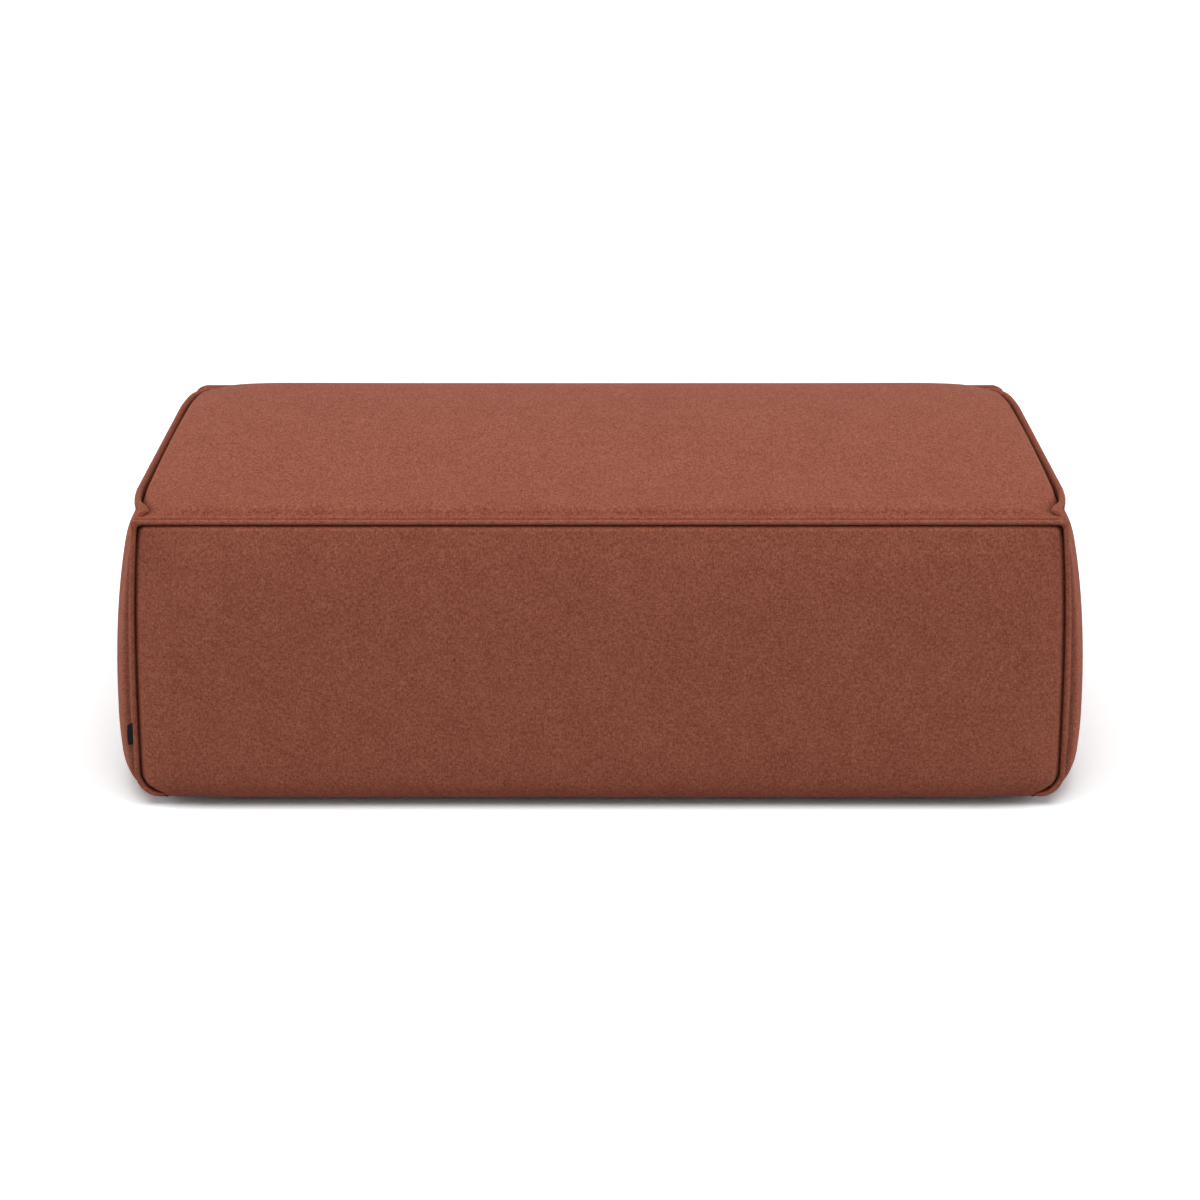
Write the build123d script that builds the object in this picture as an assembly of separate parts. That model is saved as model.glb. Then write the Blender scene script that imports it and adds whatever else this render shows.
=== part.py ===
from build123d import *
from math import cos, radians, sin
import os

# An upholstered box ottoman: a timber frame with woven webbing, foam slabs and side padding,
# under a cover of five crowned panels joined by raised flange seams, on four low glides.
# X runs from left to right, Y from front to back and Z up. The origin is on the floor,
# under the middle of the body. All sizes are in millimetres.

# Body, measured along the seams
seam_width = 1216
seam_depth = 692
seam_height = 386
ground_gap = 12

# Fullness of the cover
top_crown = 28
front_crown = 28
side_crown = 44
seam_bow = 9
lower_roll = 38
shoulder_length = 24
end_crown_extra = 6

# Fabric, seams and clearances
fabric_thickness = 2.5
flange_thickness = 6
flange_standout = 10
flange_taper = 22
fabric_return = 35
fit_gap = 0.3
cut_overrun = 20

# Padding above and around the frame
firm_foam_height = 90
soft_foam_height = 60
wadding_thickness = 8

# Timber frame
rail_height = 60
rail_thickness = 25
post_width = 45
post_drop = 12
centre_rail_width = 60
brace_height = 40
board_thickness = 3
board_margin = 1.5

# Webbing
short_strap_count = 8
long_strap_count = 4
strap_width = 70
strap_thickness = 2
strap_end_margin = 3
crossing_margin = 5
staples_per_end = 1

# Underside
dust_cover_thickness = 1.2
dust_cover_margin = 10
glide_width = 44
glide_chamfer = 3
glide_boss_width = 16
glide_nail_width = 3
glide_nail_length = 24

# Staples
staple_crown = 16
staple_wire = 1.2
webbing_staple_depth = 11
frame_staple_depth = 38
frame_staple_inset = 12

# Folded tag in the left front seam
tag_height = 28
tag_reach = 18
tag_thickness = 1.4
tag_level = 86

# Shares of the sizes that they follow
peak_share = 0.25
lower_loss_share = 0.2
least_crown_share = 0.02
shoulder_rise_share = 0.5
brace_level_share = 0.52
crown_power = 3
edge_power_share = 0.6
roll_angles = (0, 40, 90)
wall_shares = (0.3, 0.6, 0.82, 0.94, 1)

# Places that several pieces share
seam_x = seam_width / 2
seam_y = seam_depth / 2
lower_z = ground_gap
seam_z = ground_gap + seam_height
roll_x = seam_x - lower_roll
roll_y = seam_y - lower_roll
return_y = roll_y - fabric_return
return_x = roll_x - fabric_return

frame_x = roll_x - board_margin
frame_y = roll_y - board_margin
frame_low_z = lower_z + fabric_thickness + fit_gap
padding_x = frame_x + board_thickness + fit_gap
padding_y = frame_y + board_thickness + fit_gap

top_panel_x = seam_x - flange_thickness - fit_gap
top_panel_y = seam_y - fabric_thickness - fit_gap
soft_foam_top_z = seam_z - fabric_thickness - wadding_thickness - 2 * fit_gap
soft_foam_low_z = soft_foam_top_z - soft_foam_height
firm_foam_low_z = soft_foam_low_z - fit_gap - firm_foam_height
weave_rise = (strap_thickness + fit_gap) / 2
strap_z = firm_foam_low_z - fit_gap - weave_rise - strap_thickness / 2
frame_top_z = strap_z - strap_thickness / 2 - fit_gap
padding_top_z = soft_foam_top_z - fit_gap

inner_x = frame_x - rail_thickness
inner_y = frame_y - rail_thickness
post_x = inner_x - post_width / 2
post_y = inner_y - post_width / 2
dust_top_z = lower_z - fit_gap
dust_low_z = dust_top_z - dust_cover_thickness


def block(low, high):
    size = [b - a for a, b in zip(low, high)]
    return Pos(*low) * Box(*size, align=(Align.MIN, Align.MIN, Align.MIN))


# From start to end over a shoulder, the long crown and a shoulder. The cover's face has round
# shoulders, tangent to the crown; inside it the foam and the seam allowances lie straight.
def crowned_line(start, end, rise, outward, rounded=True):
    start = Vector(*start)
    end = Vector(*end)
    outward = Vector(*outward)
    along = (end - start).normalized()
    shoulder = outward * (rise * shoulder_rise_share)
    first = start + along * shoulder_length + shoulder
    last = end - along * shoulder_length + shoulder
    crown = ThreePointArc(first, (start + end) * 0.5 + outward * rise, last)
    if not rounded:
        return [Line(start, first), crown, Line(last, end)]
    start_arc = TangentArc(first, start, tangent=(crown % 0) * -1)
    end_arc = TangentArc(last, end, tangent=crown % 1)
    return [
        ThreePointArc(start, start_arc @ 0.5, first),
        crown,
        ThreePointArc(last, end_arc @ 0.5, end),
    ]


# How full the side walls are at a height: most near a quarter of the way up, least at the seam
def wall_fullness(level):
    share = min((level - lower_z) / seam_height, 1)
    if share > peak_share:
        rise = 1 - ((share - peak_share) / (1 - peak_share)) ** crown_power
        return max(rise**edge_power_share, least_crown_share)
    return 1 - lower_loss_share * ((peak_share - share) / peak_share) ** 2


# The vertical seams bow outwards between the lower roll and the top seam
def seam_swell(level):
    share = (level - lower_z - lower_roll) / (seam_height - lower_roll)
    share = min(max(share, 0), 1)
    return 4 * seam_bow * share * (1 - share)


def wall_section(level, inset, rounded):
    x = seam_x + seam_swell(level) - inset
    y = seam_y - inset
    front_rise = front_crown * wall_fullness(level)
    side_rise = side_crown * wall_fullness(level)
    corners = [(-x, -y, level), (x, -y, level), (x, y, level), (-x, y, level)]
    sides = [
        (corners[0], corners[1], front_rise, (0, -1, 0)),
        (corners[1], corners[2], side_rise, (1, 0, 0)),
        (corners[2], corners[3], front_rise, (0, 1, 0)),
        (corners[3], corners[0], side_rise, (-1, 0, 0)),
    ]
    edges = []
    for start, end, rise, outward in sides:
        edges += crowned_line(start, end, rise, outward, rounded)
    return Wire([line.edge() for line in edges])


# The closed form of the four side walls, a given depth inside the cover's face
def wall_form(depth):
    sections = []
    rounded = depth <= 0
    radius = lower_roll - depth
    for angle in roll_angles:
        level = lower_z + depth + radius * (1 - cos(radians(angle)))
        inset = depth + radius * (1 - sin(radians(angle)))
        sections.append(wall_section(level, inset, rounded))
    roll_top = lower_z + lower_roll
    for share in wall_shares:
        sections.append(wall_section(roll_top + (seam_z - roll_top) * share, depth, rounded))
    return Solid.make_loft(sections, True)


# The front seen square on, a given depth inside the outer face of its seam
def front_outline(depth):
    x = seam_x - depth
    roll_top = lower_z + lower_roll
    middle = (roll_top + seam_z - depth) / 2
    turn = (lower_roll - depth) * sin(radians(45))
    low_right = [(roll_x, lower_z + depth), (roll_x + turn, roll_top - turn), (x, roll_top)]
    low_left = [(-px, pz) for px, pz in reversed(low_right)]
    with BuildSketch(Plane.XZ) as outline:
        with BuildLine():
            Line(low_left[-1], low_right[0])
            ThreePointArc(*low_right)
            ThreePointArc(low_right[-1], (x + seam_bow, middle), (x, seam_z - depth))
            Line((x, seam_z - depth), (-x, seam_z - depth))
            ThreePointArc((-x, seam_z - depth), (-x - seam_bow, middle), low_left[0])
            ThreePointArc(*low_left)
        make_face()
    return extrude(outline.sketch, seam_depth, both=True)


# The body seen from its side, a given depth inside the seam planes
def side_outline(depth, top):
    y = seam_y - depth
    roll_top = lower_z + lower_roll
    turn = (lower_roll - depth) * sin(radians(45))
    low_back = [(roll_y, lower_z + depth), (roll_y + turn, roll_top - turn), (y, roll_top)]
    low_front = [(-py, pz) for py, pz in reversed(low_back)]
    with BuildSketch(Plane.YZ) as outline:
        with BuildLine():
            Line(low_front[-1], low_back[0])
            ThreePointArc(*low_back)
            Polyline((y, roll_top), (y, top), (-y, top), (-y, roll_top))
            ThreePointArc(*low_front)
        make_face()
    return extrude(outline.sketch, seam_width, both=True)


# Where the front panel and its padding may lie: inside the flange, and under the body
def inside_flange(clearance):
    x = roll_x - clearance
    low = lower_z - cut_overrun
    underside = block((-x, -seam_depth, low), (x, seam_depth, lower_z + lower_roll))
    return front_outline(flange_thickness + clearance) + underside


def cover_walls():
    shell = wall_form(0) - wall_form(fabric_thickness)
    opening = block(
        (-return_x, -return_y, lower_z - cut_overrun),
        (return_x, return_y, lower_z + cut_overrun),
    )
    shell = shell - opening
    front_half = block(
        (-seam_width, -seam_depth, lower_z - cut_overrun), (seam_width, -return_y, seam_z)
    )
    front = shell & inside_flange(fit_gap) & front_half
    side_y = roll_y - fit_gap
    side_region = side_outline(fabric_thickness + fit_gap, seam_z - fabric_thickness - fit_gap)
    side_region += block(
        (-seam_width, -side_y, lower_z - cut_overrun), (seam_width, side_y, lower_z + lower_roll)
    )
    middle = block(
        (-seam_width, fit_gap - return_y, lower_z - cut_overrun),
        (seam_width, return_y - fit_gap, seam_z),
    )
    side_region -= inside_flange(0) - middle
    right_half = block(
        (return_x, -seam_depth, lower_z - cut_overrun), (seam_width, seam_depth, seam_z)
    )
    right = shell & side_region & right_half
    return {
        "front_cover_panel": front,
        "back_cover_panel": mirror(front, Plane.XZ),
        "right_cover_panel": right,
        "left_cover_panel": mirror(right, Plane.YZ),
    }


# A slab's outline over the top: its edge stands from low to edge, and the crown rises above edge
def crowned_profile(half, low, edge, rise, plane):
    with BuildSketch(plane) as profile:
        with BuildLine():
            Polyline((half, edge), (half, low), (-half, low), (-half, edge))
            crowned_line((-half, edge), (half, edge), rise, (0, 1))
        make_face()
    return profile.sketch


# A crowned slab is the part that its lengthwise and its crosswise profile share
def crowned_cap(inset, low, edge):
    half_length = top_panel_x - inset
    half_depth = top_panel_y - inset
    long_rise = top_crown + end_crown_extra
    along = crowned_profile(half_length, low, edge, long_rise, Plane.XZ)
    across = crowned_profile(half_depth, low, edge, top_crown, Plane.YZ)
    return extrude(along, seam_depth, both=True) & extrude(across, seam_width, both=True)


def top_layers():
    panel_low = seam_z - fabric_thickness
    panel = crowned_cap(0, panel_low, seam_z)
    panel -= crowned_cap(fabric_thickness, panel_low - cut_overrun, panel_low)
    wadding_edge = panel_low - fit_gap
    wadding_low = wadding_edge - wadding_thickness
    wadding = crowned_cap(fabric_thickness + fit_gap, wadding_low, wadding_edge)
    foam_inset = fabric_thickness + wadding_thickness + 2 * fit_gap
    cavity_inset = foam_inset - fit_gap
    wadding -= crowned_cap(cavity_inset, wadding_low - cut_overrun, wadding_low)
    return {"top_cover_panel": panel, "seat_wadding": wadding}


def seat_foam():
    foam_x = padding_x - fit_gap
    foam_y = padding_y - fit_gap
    inset = fabric_thickness + wadding_thickness + 2 * fit_gap
    crown = crowned_cap(inset, soft_foam_low_z, soft_foam_top_z)
    soft = crown & block(
        (-foam_x, -foam_y, soft_foam_low_z), (foam_x, foam_y, seam_z + top_crown)
    )
    firm = block(
        (-foam_x, -foam_y, firm_foam_low_z), (foam_x, foam_y, firm_foam_low_z + firm_foam_height)
    )
    return {"soft_seat_foam": soft, "firm_seat_foam": firm}


def side_padding():
    depth = fabric_thickness + fit_gap
    form = wall_form(depth)
    side_y = padding_y - fit_gap
    front = form & (inside_flange(fit_gap) + side_outline(depth, seam_z)) & block(
        (-seam_width, -seam_depth, lower_z), (seam_width, -padding_y, padding_top_z)
    )
    right = form & block((padding_x, -side_y, lower_z), (seam_width, side_y, padding_top_z))
    return {
        "front_padding": front,
        "back_padding": mirror(front, Plane.XZ),
        "right_padding": right,
        "left_padding": mirror(right, Plane.YZ),
    }


# The flange round the front: up one corner, along the top and down the other, curled under
def seam_flanges():
    loop = front_outline(0) - front_outline(flange_thickness)
    loop -= block(
        (-roll_x, -seam_depth, lower_z - cut_overrun), (roll_x, seam_depth, lower_z + lower_roll)
    )
    strip = side_outline(-flange_standout, seam_z + cut_overrun)
    strip -= side_outline(fabric_thickness, seam_z + 2 * cut_overrun)
    front_half = block(
        (-seam_width, -seam_depth, lower_z), (seam_width, -roll_y, seam_z + cut_overrun)
    )
    front = loop & strip & front_half
    side_low = seam_z - fabric_thickness
    crest = seam_z + flange_standout
    with BuildSketch(Plane.YZ) as profile:
        with BuildLine():
            Line((-top_panel_y, side_low), (top_panel_y, side_low))
            Line((top_panel_y, side_low), (top_panel_y, seam_z))
            Spline(
                (top_panel_y, seam_z),
                (top_panel_y - flange_taper, crest),
                tangents=((-1, 1), (-1, 0)),
            )
            Line((top_panel_y - flange_taper, crest), (flange_taper - top_panel_y, crest))
            Spline(
                (flange_taper - top_panel_y, crest),
                (-top_panel_y, seam_z),
                tangents=((-1, 0), (-1, -1)),
            )
            Line((-top_panel_y, seam_z), (-top_panel_y, side_low))
        make_face()
    right = Pos(seam_x - flange_thickness, 0, 0) * extrude(profile.sketch, flange_thickness)
    return {
        "front_flange_seam": front,
        "back_flange_seam": mirror(front, Plane.XZ),
        "right_flange_seam": right,
        "left_flange_seam": mirror(right, Plane.YZ),
    }


# The blank folded tag follows the left wall, just behind the front seam
def seam_tag():
    shell = wall_form(-fit_gap - tag_thickness) - wall_form(-fit_gap)
    place = block(
        (-seam_width, -top_panel_y, tag_level), (0, tag_reach - top_panel_y, tag_level + tag_height)
    )
    return {"side_tag": shell & place}


def frame_rails():
    low_top_z = frame_low_z + rail_height
    high_low_z = frame_top_z - rail_height
    rails = {}
    for name, low, high in (
        ("bottom", frame_low_z, low_top_z),
        ("top", high_low_z, frame_top_z),
    ):
        front = block((-frame_x, -frame_y, low), (frame_x, -inner_y, high))
        right = block((inner_x, -inner_y, low), (frame_x, inner_y, high))
        rails[f"front_{name}_rail"] = front
        rails[f"back_{name}_rail"] = mirror(front, Plane.XZ)
        rails[f"right_{name}_rail"] = right
        rails[f"left_{name}_rail"] = mirror(right, Plane.YZ)
    return rails


def frame_posts():
    half = post_width / 2
    top = frame_top_z - post_drop
    post = block((post_x - half, -post_y - half, frame_low_z), (post_x + half, half - post_y, top))
    centre = block((-half, -inner_y, frame_low_z + rail_height), (half, post_width - inner_y, top))
    return {
        "front_right_post": post,
        "front_left_post": mirror(post, Plane.YZ),
        "back_right_post": mirror(post, Plane.XZ),
        "back_left_post": mirror(mirror(post, Plane.XZ), Plane.YZ),
        "front_centre_post": centre,
        "back_centre_post": mirror(centre, Plane.XZ),
    }


def centre_members():
    half = centre_rail_width / 2
    rail = block((-half, -inner_y, frame_low_z), (half, inner_y, frame_low_z + rail_height))
    brace_y = inner_y - post_width
    rail_top = frame_low_z + rail_height
    brace_low = rail_top + (frame_top_z - rail_top) * brace_level_share - brace_height / 2
    brace = block((-half, -brace_y, brace_low), (half, brace_y, brace_low + brace_height))
    return {"centre_bottom_rail": rail, "centre_top_brace": brace}


def frame_boards():
    front = block(
        (-frame_x, -frame_y - board_thickness, frame_low_z), (frame_x, -frame_y, frame_top_z)
    )
    right = block((frame_x, -frame_y, frame_low_z), (frame_x + board_thickness, frame_y, frame_top_z))
    return {
        "front_board": front,
        "back_board": mirror(front, Plane.XZ),
        "right_board": right,
        "left_board": mirror(right, Plane.YZ),
    }


def strap_places(count, half_span):
    pitch = 2 * half_span / count
    return [pitch * (index + 0.5) - half_span for index in range(count)]


# A strap rests on a rail at each end, and passes over and under the straps that it crosses
def woven_strap(half_span, half_inner, crossings, over_first):
    half_crossing = strap_width / 2 + crossing_margin
    path = [(-half_span, strap_z), (-half_inner, strap_z)]
    over = over_first
    for place in crossings:
        level = strap_z + (weave_rise if over else -weave_rise)
        path += [(place - half_crossing, level), (place + half_crossing, level)]
        over = not over
    path += [(half_inner, strap_z), (half_span, strap_z)]
    half = strap_thickness / 2
    outline = [(p, z + half) for p, z in path] + [(p, z - half) for p, z in reversed(path)]
    return outline


def strap_solid(outline, plane):
    with BuildSketch(plane) as profile:
        with BuildLine():
            Polyline(*outline, close=True)
        make_face()
    return extrude(profile.sketch, strap_width / 2, both=True)


def webbing():
    straps = {}
    short_places = strap_places(short_strap_count, inner_x)
    long_places = strap_places(long_strap_count, inner_y)
    for index, x in enumerate(short_places):
        outline = woven_strap(frame_y - strap_end_margin, inner_y, long_places, index % 2 == 0)
        straps[f"short_webbing_{index + 1}"] = Pos(x, 0, 0) * strap_solid(outline, Plane.YZ)
    for index, y in enumerate(long_places):
        outline = woven_strap(frame_x - strap_end_margin, inner_x, short_places, index % 2 == 1)
        straps[f"long_webbing_{index + 1}"] = Pos(0, y, 0) * strap_solid(outline, Plane.XZ)
    return straps


# One staple: a crown that lies on the surface at the origin, with two legs down along -Z
def staple(depth):
    half = staple_crown / 2
    wire = staple_wire / 2
    body = block((-half, -wire, -depth), (half, wire, staple_wire))
    between_legs = block((staple_wire - half, -staple_wire, -depth), (half - staple_wire, wire, 0))
    return body - between_legs


def webbing_staples():
    one = Pos(0, 0, strap_z + strap_thickness / 2) * staple(webbing_staple_depth)
    end_y = (frame_y - strap_end_margin + inner_y) / 2
    end_x = (frame_x - strap_end_margin + inner_x) / 2
    pitch = strap_width / staples_per_end
    offsets = [pitch * (index + 0.5) - strap_width / 2 for index in range(staples_per_end)]
    staples = []
    for x in strap_places(short_strap_count, inner_x):
        for offset in offsets:
            staples += [Pos(x + offset, end, 0) * one for end in (-end_y, end_y)]
    for y in strap_places(long_strap_count, inner_y):
        for offset in offsets:
            staples += [Pos(end, y + offset, 0) * Rot(0, 0, 90) * one for end in (-end_x, end_x)]
    return staples


# The long rails are stapled to the corner posts, with each crown sunk flush in its rail
def frame_staples():
    one = Rot(90, 0, 0) * staple(frame_staple_depth)
    staples = []
    for low in (frame_low_z, frame_top_z - rail_height):
        for level in (low + frame_staple_inset, low + rail_height - frame_staple_inset):
            for x in (-post_x, post_x):
                front = Pos(x, staple_wire - frame_y, level) * one
                staples += [front, mirror(front, Plane.XZ)]
    return staples


def glide_places():
    return {
        "front_left": (-post_x, -post_y),
        "front_right": (post_x, -post_y),
        "back_left": (-post_x, post_y),
        "back_right": (post_x, post_y),
    }


# Square-shanked nails, moulded into the glides and driven up into the corner posts
def glide_nails():
    half = glide_nail_width / 2
    low = dust_low_z - fit_gap
    nail = block((-half, -half, low), (half, half, low + glide_nail_length))
    return [Pos(x, y, 0) * nail for x, y in glide_places().values()]


# A moulded glide: a square foot under the dust cover, with a boss that seats on the corner post
def glides():
    foot_top = dust_low_z - fit_gap
    half = glide_width / 2
    foot = block((-half, -half, 0), (half, half, foot_top))
    foot = chamfer(foot.edges().filter_by(Axis.Z), glide_chamfer)
    foot = chamfer(foot.faces().sort_by(Axis.Z)[0].edges(), glide_chamfer)
    half = glide_boss_width / 2
    foot += block((-half, -half, foot_top), (half, half, frame_low_z))
    return {f"{name}_glide": Pos(x, y, 0) * foot for name, (x, y) in glide_places().items()}


def dust_cover():
    x = roll_x - dust_cover_margin
    y = roll_y - dust_cover_margin
    sheet = block((-x, -y, dust_low_z), (x, y, dust_top_z))
    half = glide_boss_width / 2 + fit_gap
    for x, y in glide_places().values():
        sheet -= block((x - half, y - half, lower_z - cut_overrun), (x + half, y + half, lower_z))
    return {"dust_cover": sheet}


def cut_all(nodes, names, tools):
    for name in names:
        box = nodes[name].bounding_box()
        for tool in tools:
            reach = tool.bounding_box()
            if all(a <= b for a, b in zip(reach.min, box.max)) and all(
                a <= b for a, b in zip(box.min, reach.max)
            ):
                nodes[name] = nodes[name] - tool


def build():
    nodes = {}
    nodes |= frame_rails()
    nodes |= frame_posts()
    nodes |= centre_members()
    nodes |= frame_boards()
    nodes |= webbing()
    nodes |= glides()
    strap_staples = webbing_staples()
    rail_staples = frame_staples()
    nails = glide_nails()
    cut_all(nodes, [name for name in nodes if "webbing" in name or "rail" in name], strap_staples)
    cut_all(nodes, [name for name in nodes if "rail" in name or "post" in name], rail_staples)
    cut_all(nodes, [name for name in nodes if "post" in name or "glide" in name], nails)
    nodes |= seat_foam()
    nodes |= top_layers()
    nodes |= side_padding()
    nodes |= cover_walls()
    nodes |= seam_flanges()
    nodes |= seam_tag()
    nodes |= dust_cover()
    nodes["glide_nails"] = Compound(children=nails)
    nodes["frame_staples"] = Compound(children=rail_staples)
    nodes["webbing_staples"] = Compound(children=strap_staples)
    return nodes


os.makedirs("parts", exist_ok=True)
for node, shape in build().items():
    export_step(shape, f"parts/{node}.step")
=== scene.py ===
import bmesh
import bpy
import math
import numpy as np
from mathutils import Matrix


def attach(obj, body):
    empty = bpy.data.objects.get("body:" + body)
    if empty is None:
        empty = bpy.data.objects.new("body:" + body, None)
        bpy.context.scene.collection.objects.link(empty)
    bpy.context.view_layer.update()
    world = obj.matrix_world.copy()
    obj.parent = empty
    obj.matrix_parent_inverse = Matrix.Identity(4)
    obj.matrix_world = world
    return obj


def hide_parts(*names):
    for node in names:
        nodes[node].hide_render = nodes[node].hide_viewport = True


# Upholstered box ottoman: a woven wool-blend cover of five padded panels, joined by raised
# flange seams, on low black glides. Sizes below are in millimetres, meshes are in metres.

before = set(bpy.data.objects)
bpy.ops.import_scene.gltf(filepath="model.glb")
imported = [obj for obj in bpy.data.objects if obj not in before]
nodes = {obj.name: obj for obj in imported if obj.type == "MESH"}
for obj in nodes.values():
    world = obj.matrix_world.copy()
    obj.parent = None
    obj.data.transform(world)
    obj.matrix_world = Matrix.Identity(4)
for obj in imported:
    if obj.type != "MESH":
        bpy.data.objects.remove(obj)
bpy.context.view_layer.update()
print("frame loaded:", len(nodes), "nodes")

millimetre = 0.001

body = {
    "halfWidth": 611.0,      # of the front and top panels, where their grids are laid out
    "halfDepth": 346.0,      # seam plane of the front and back loops
    "seamTop": 398.0,        # height of the top seams
    "lowest": 10.0,          # underside of the cover
    "roll": 38.0,            # radius of the rolled lower edge
    "returnIn": 35.0,        # how far the cover is turned under past the roll
    "returnUp": 1.7,         # and up against the rail, above the dust cover
    "returnEase": 0.28,      # the share of the return in which it rises
    "loopTopX": 607.0,       # half width of the loop's outer face at the top
    "loopSpread": 12.5,      # how much wider it stands lower down
    "sideSeamX": 618.0,      # half width of the side seam in its middle
    "sideSeamPull": 12.0,    # how much the corners draw that seam in
    "pullReach": (120.0, 150.0),    # from the front and the back corner
    "notchPull": 6.5,
    "notchPlace": 34.0,
    "notchWidth": 19.0,
    "backPull": 6.5,         # the back corners are drawn in a little more
    "backPlace": 34.0,
    "backWidth": 28.0,
    "frontCrown": 17.8,      # crowns before the padding swells the cloth
    "sideCrown": 37.8,
    "topCrown": 31.8,
}

lip = {
    "thickness": 6.3,        # two layers of cloth round the folded allowance
    "standOut": 10.0,
    "gap": 0.6,              # between the lip and the panel it shadows
    "root": 8.0,             # how far it is sewn in behind the seam plane
    "rootInner": ((1.0, 1.2), (0.4, 0.5)),   # there: shares of the root and distances in from
    "rootOuter": ((0.6, 3.0), (1.0, 3.2)),   # the inner and the outer face
    "innerStart": 0.15,      # the inner face starts at this share of its height
    "cornerRadius": 8.5,
    "lowerRadius": 28.0,
    "grooveFall": 3.8,       # how deep the stitched groove beside a lip is
    "grooveWidth": 1.4,
    "ridge": 1.5,            # the folded allowance under the cloth beside it
    "ridgePlace": 4.6,
    "ridgeWidth": 2.4,
    "shadeWidth": 2.2,       # how much of the lip's outer face lies in the groove's shade
    "outerDepth": 2.5,       # how far that face goes down into the groove
    "fallPlace": 0.4,        # where it is deepest, below the seam plane
    "fallWidth": 2.4,
    "bulge": 0.3,            # how far the face bulges in its middle
    "sideThickness": 9.0,    # the side lips are bulkier, folded over the padding's edge
    "sideGap": 1.8,
    "endX": 567.0,           # where the loop is tucked up under the body
    "endRise": 12.0,
    "endReach": 34.0,        # it gets lower over this length, and ends this far inside
    "endSink": 4.0,
    "endThin": 0.6,          # and is this much thinner
    "backRise": 1.15,        # the back loop's top stands up by this angle
    "backTurn": (0.2, 0.75), # which comes in round its corners, by how far its face looks up
    "backHinge": (-3, 2),
    "backLift": 1.3,
    "cornerFullness": 9.0,   # how square the outside of the loop's top corners is
}

clothTop = body["seamTop"] + 0.6     # the side and top panels start just above the seam
clothEnd = body["halfDepth"] - 0.4   # and end just inside the loops


# Rises from 0 at an edge to 1, as a quarter round does
def rounded(distance, radius):
    t = np.clip(distance / radius, 0, 1)
    return np.sqrt(1 - (1 - t) ** 2)


def easedOut(distance, reach, power):
    return 1 - (1 - np.clip(distance / reach, 0, 1)) ** power


def smoothStep(value, start, end):
    t = np.clip((value - start) / (end - start), 0, 1)
    return t * t * (3 - 2 * t)


def bell(value, place, width):
    return np.exp(-(((value - place) / width) ** 2))


# Distance to the nearer edge of a panel, from a share between -1 and 1 of its half size
def edgeGap(half, share):
    return half * (1 - np.abs(share))


# How full a wall is at a height: most near a quarter of the way up, none at the top seam
def wallFullness(z):
    share = np.clip((z - body["lowest"]) / (body["seamTop"] - body["lowest"]), 0, 1)
    above = np.clip((share - 0.25) / 0.75, 0, 1)
    below = np.clip((0.25 - share) / 0.25, 0, 1)
    return (1 - above**2.2) ** 0.8 - 0.2 * below**2


# Half width of the outer face of the front and back loops at a height
def loopOuterX(z):
    rollTop = body["lowest"] + body["roll"]
    share = np.clip((z - rollTop) / (body["seamTop"] - rollTop), 0, 1)
    return body["loopTopX"] + body["loopSpread"] * (1 - share**3)


# Half width of the crevice inside the loop: rounded at the top corner and round the lower one
def creviceX(z):
    side = loopOuterX(z) - lip["thickness"] - lip["gap"]
    cornerLow = body["seamTop"] - lip["thickness"] - lip["cornerRadius"]
    inCorner = np.clip(z - cornerLow, 0, lip["cornerRadius"])
    side = side - (lip["cornerRadius"] - np.sqrt(lip["cornerRadius"] ** 2 - inCorner**2))
    rollTop = body["lowest"] + body["roll"]
    drop = np.clip(rollTop - z, 0, lip["lowerRadius"])
    return side - (lip["lowerRadius"] - np.sqrt(lip["lowerRadius"] ** 2 - drop**2))


# Half width of the side seam's outer face along the depth, with a notch where its lip is folded
def sideSeamX(y):
    distance = body["halfDepth"] - np.abs(y)
    reach = np.where(y > 0, body["pullReach"][1], body["pullReach"][0])
    pull = (1 - np.clip(distance / reach, 0, 1)) ** 1.5
    notch = bell(distance, body["notchPlace"], body["notchWidth"])
    back = body["backPull"] * bell(distance, body["backPlace"], body["backWidth"]) * (y > 0)
    return body["sideSeamX"] - body["sideSeamPull"] * pull - body["notchPull"] * notch - back


seamDip = (0.6, 9.5, 1.5)    # depth, place and width of the topstitch dip
sideDip = (2.2, 10.5, 4.0)   # the side panels are drawn in further beside the loops
shadeDip = (0.1, 9.5, 1.8)   # the top panel gets hardly any painted shade in its dip
seamFade = (2, 14)           # a groove fades in between these distances from a crossing seam


# The cloth beside a stitched groove: down in the groove, up over the folded allowance, down in
# the topstitch dip
def seamLedge(distance, dip=seamDip):
    groove = -lip["grooveFall"] * bell(distance, 0, lip["grooveWidth"])
    ridge = lip["ridge"] * bell(distance, lip["ridgePlace"], lip["ridgeWidth"])
    return groove + ridge - dip[0] * bell(distance, dip[1], dip[2])


# How much painted shade darkens the pile beside a seam, from 0 to 1: most in the groove, a little
# in the topstitch dip
def seamShade(distance, dip=seamDip):
    return np.clip(-seamLedge(distance, dip) / lip["grooveFall"], 0, 1)


# Grid lines from -1 to 1 (or 0 to 1), close together by the edges and wider in the middle
def gridLines(half, edgeStep, middleStep, edgeReach, oneSided=False):
    steps = [0.0]
    while steps[-1] < half:
        share = min(steps[-1] / edgeReach, 1.0)
        steps.append(steps[-1] + edgeStep + (middleStep - edgeStep) * share**1.3)
    lines = np.array(steps) / steps[-1]
    if oneSided:
        return lines
    return np.concatenate([lines - 1, (1 - lines[::-1])[1:]])


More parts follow.
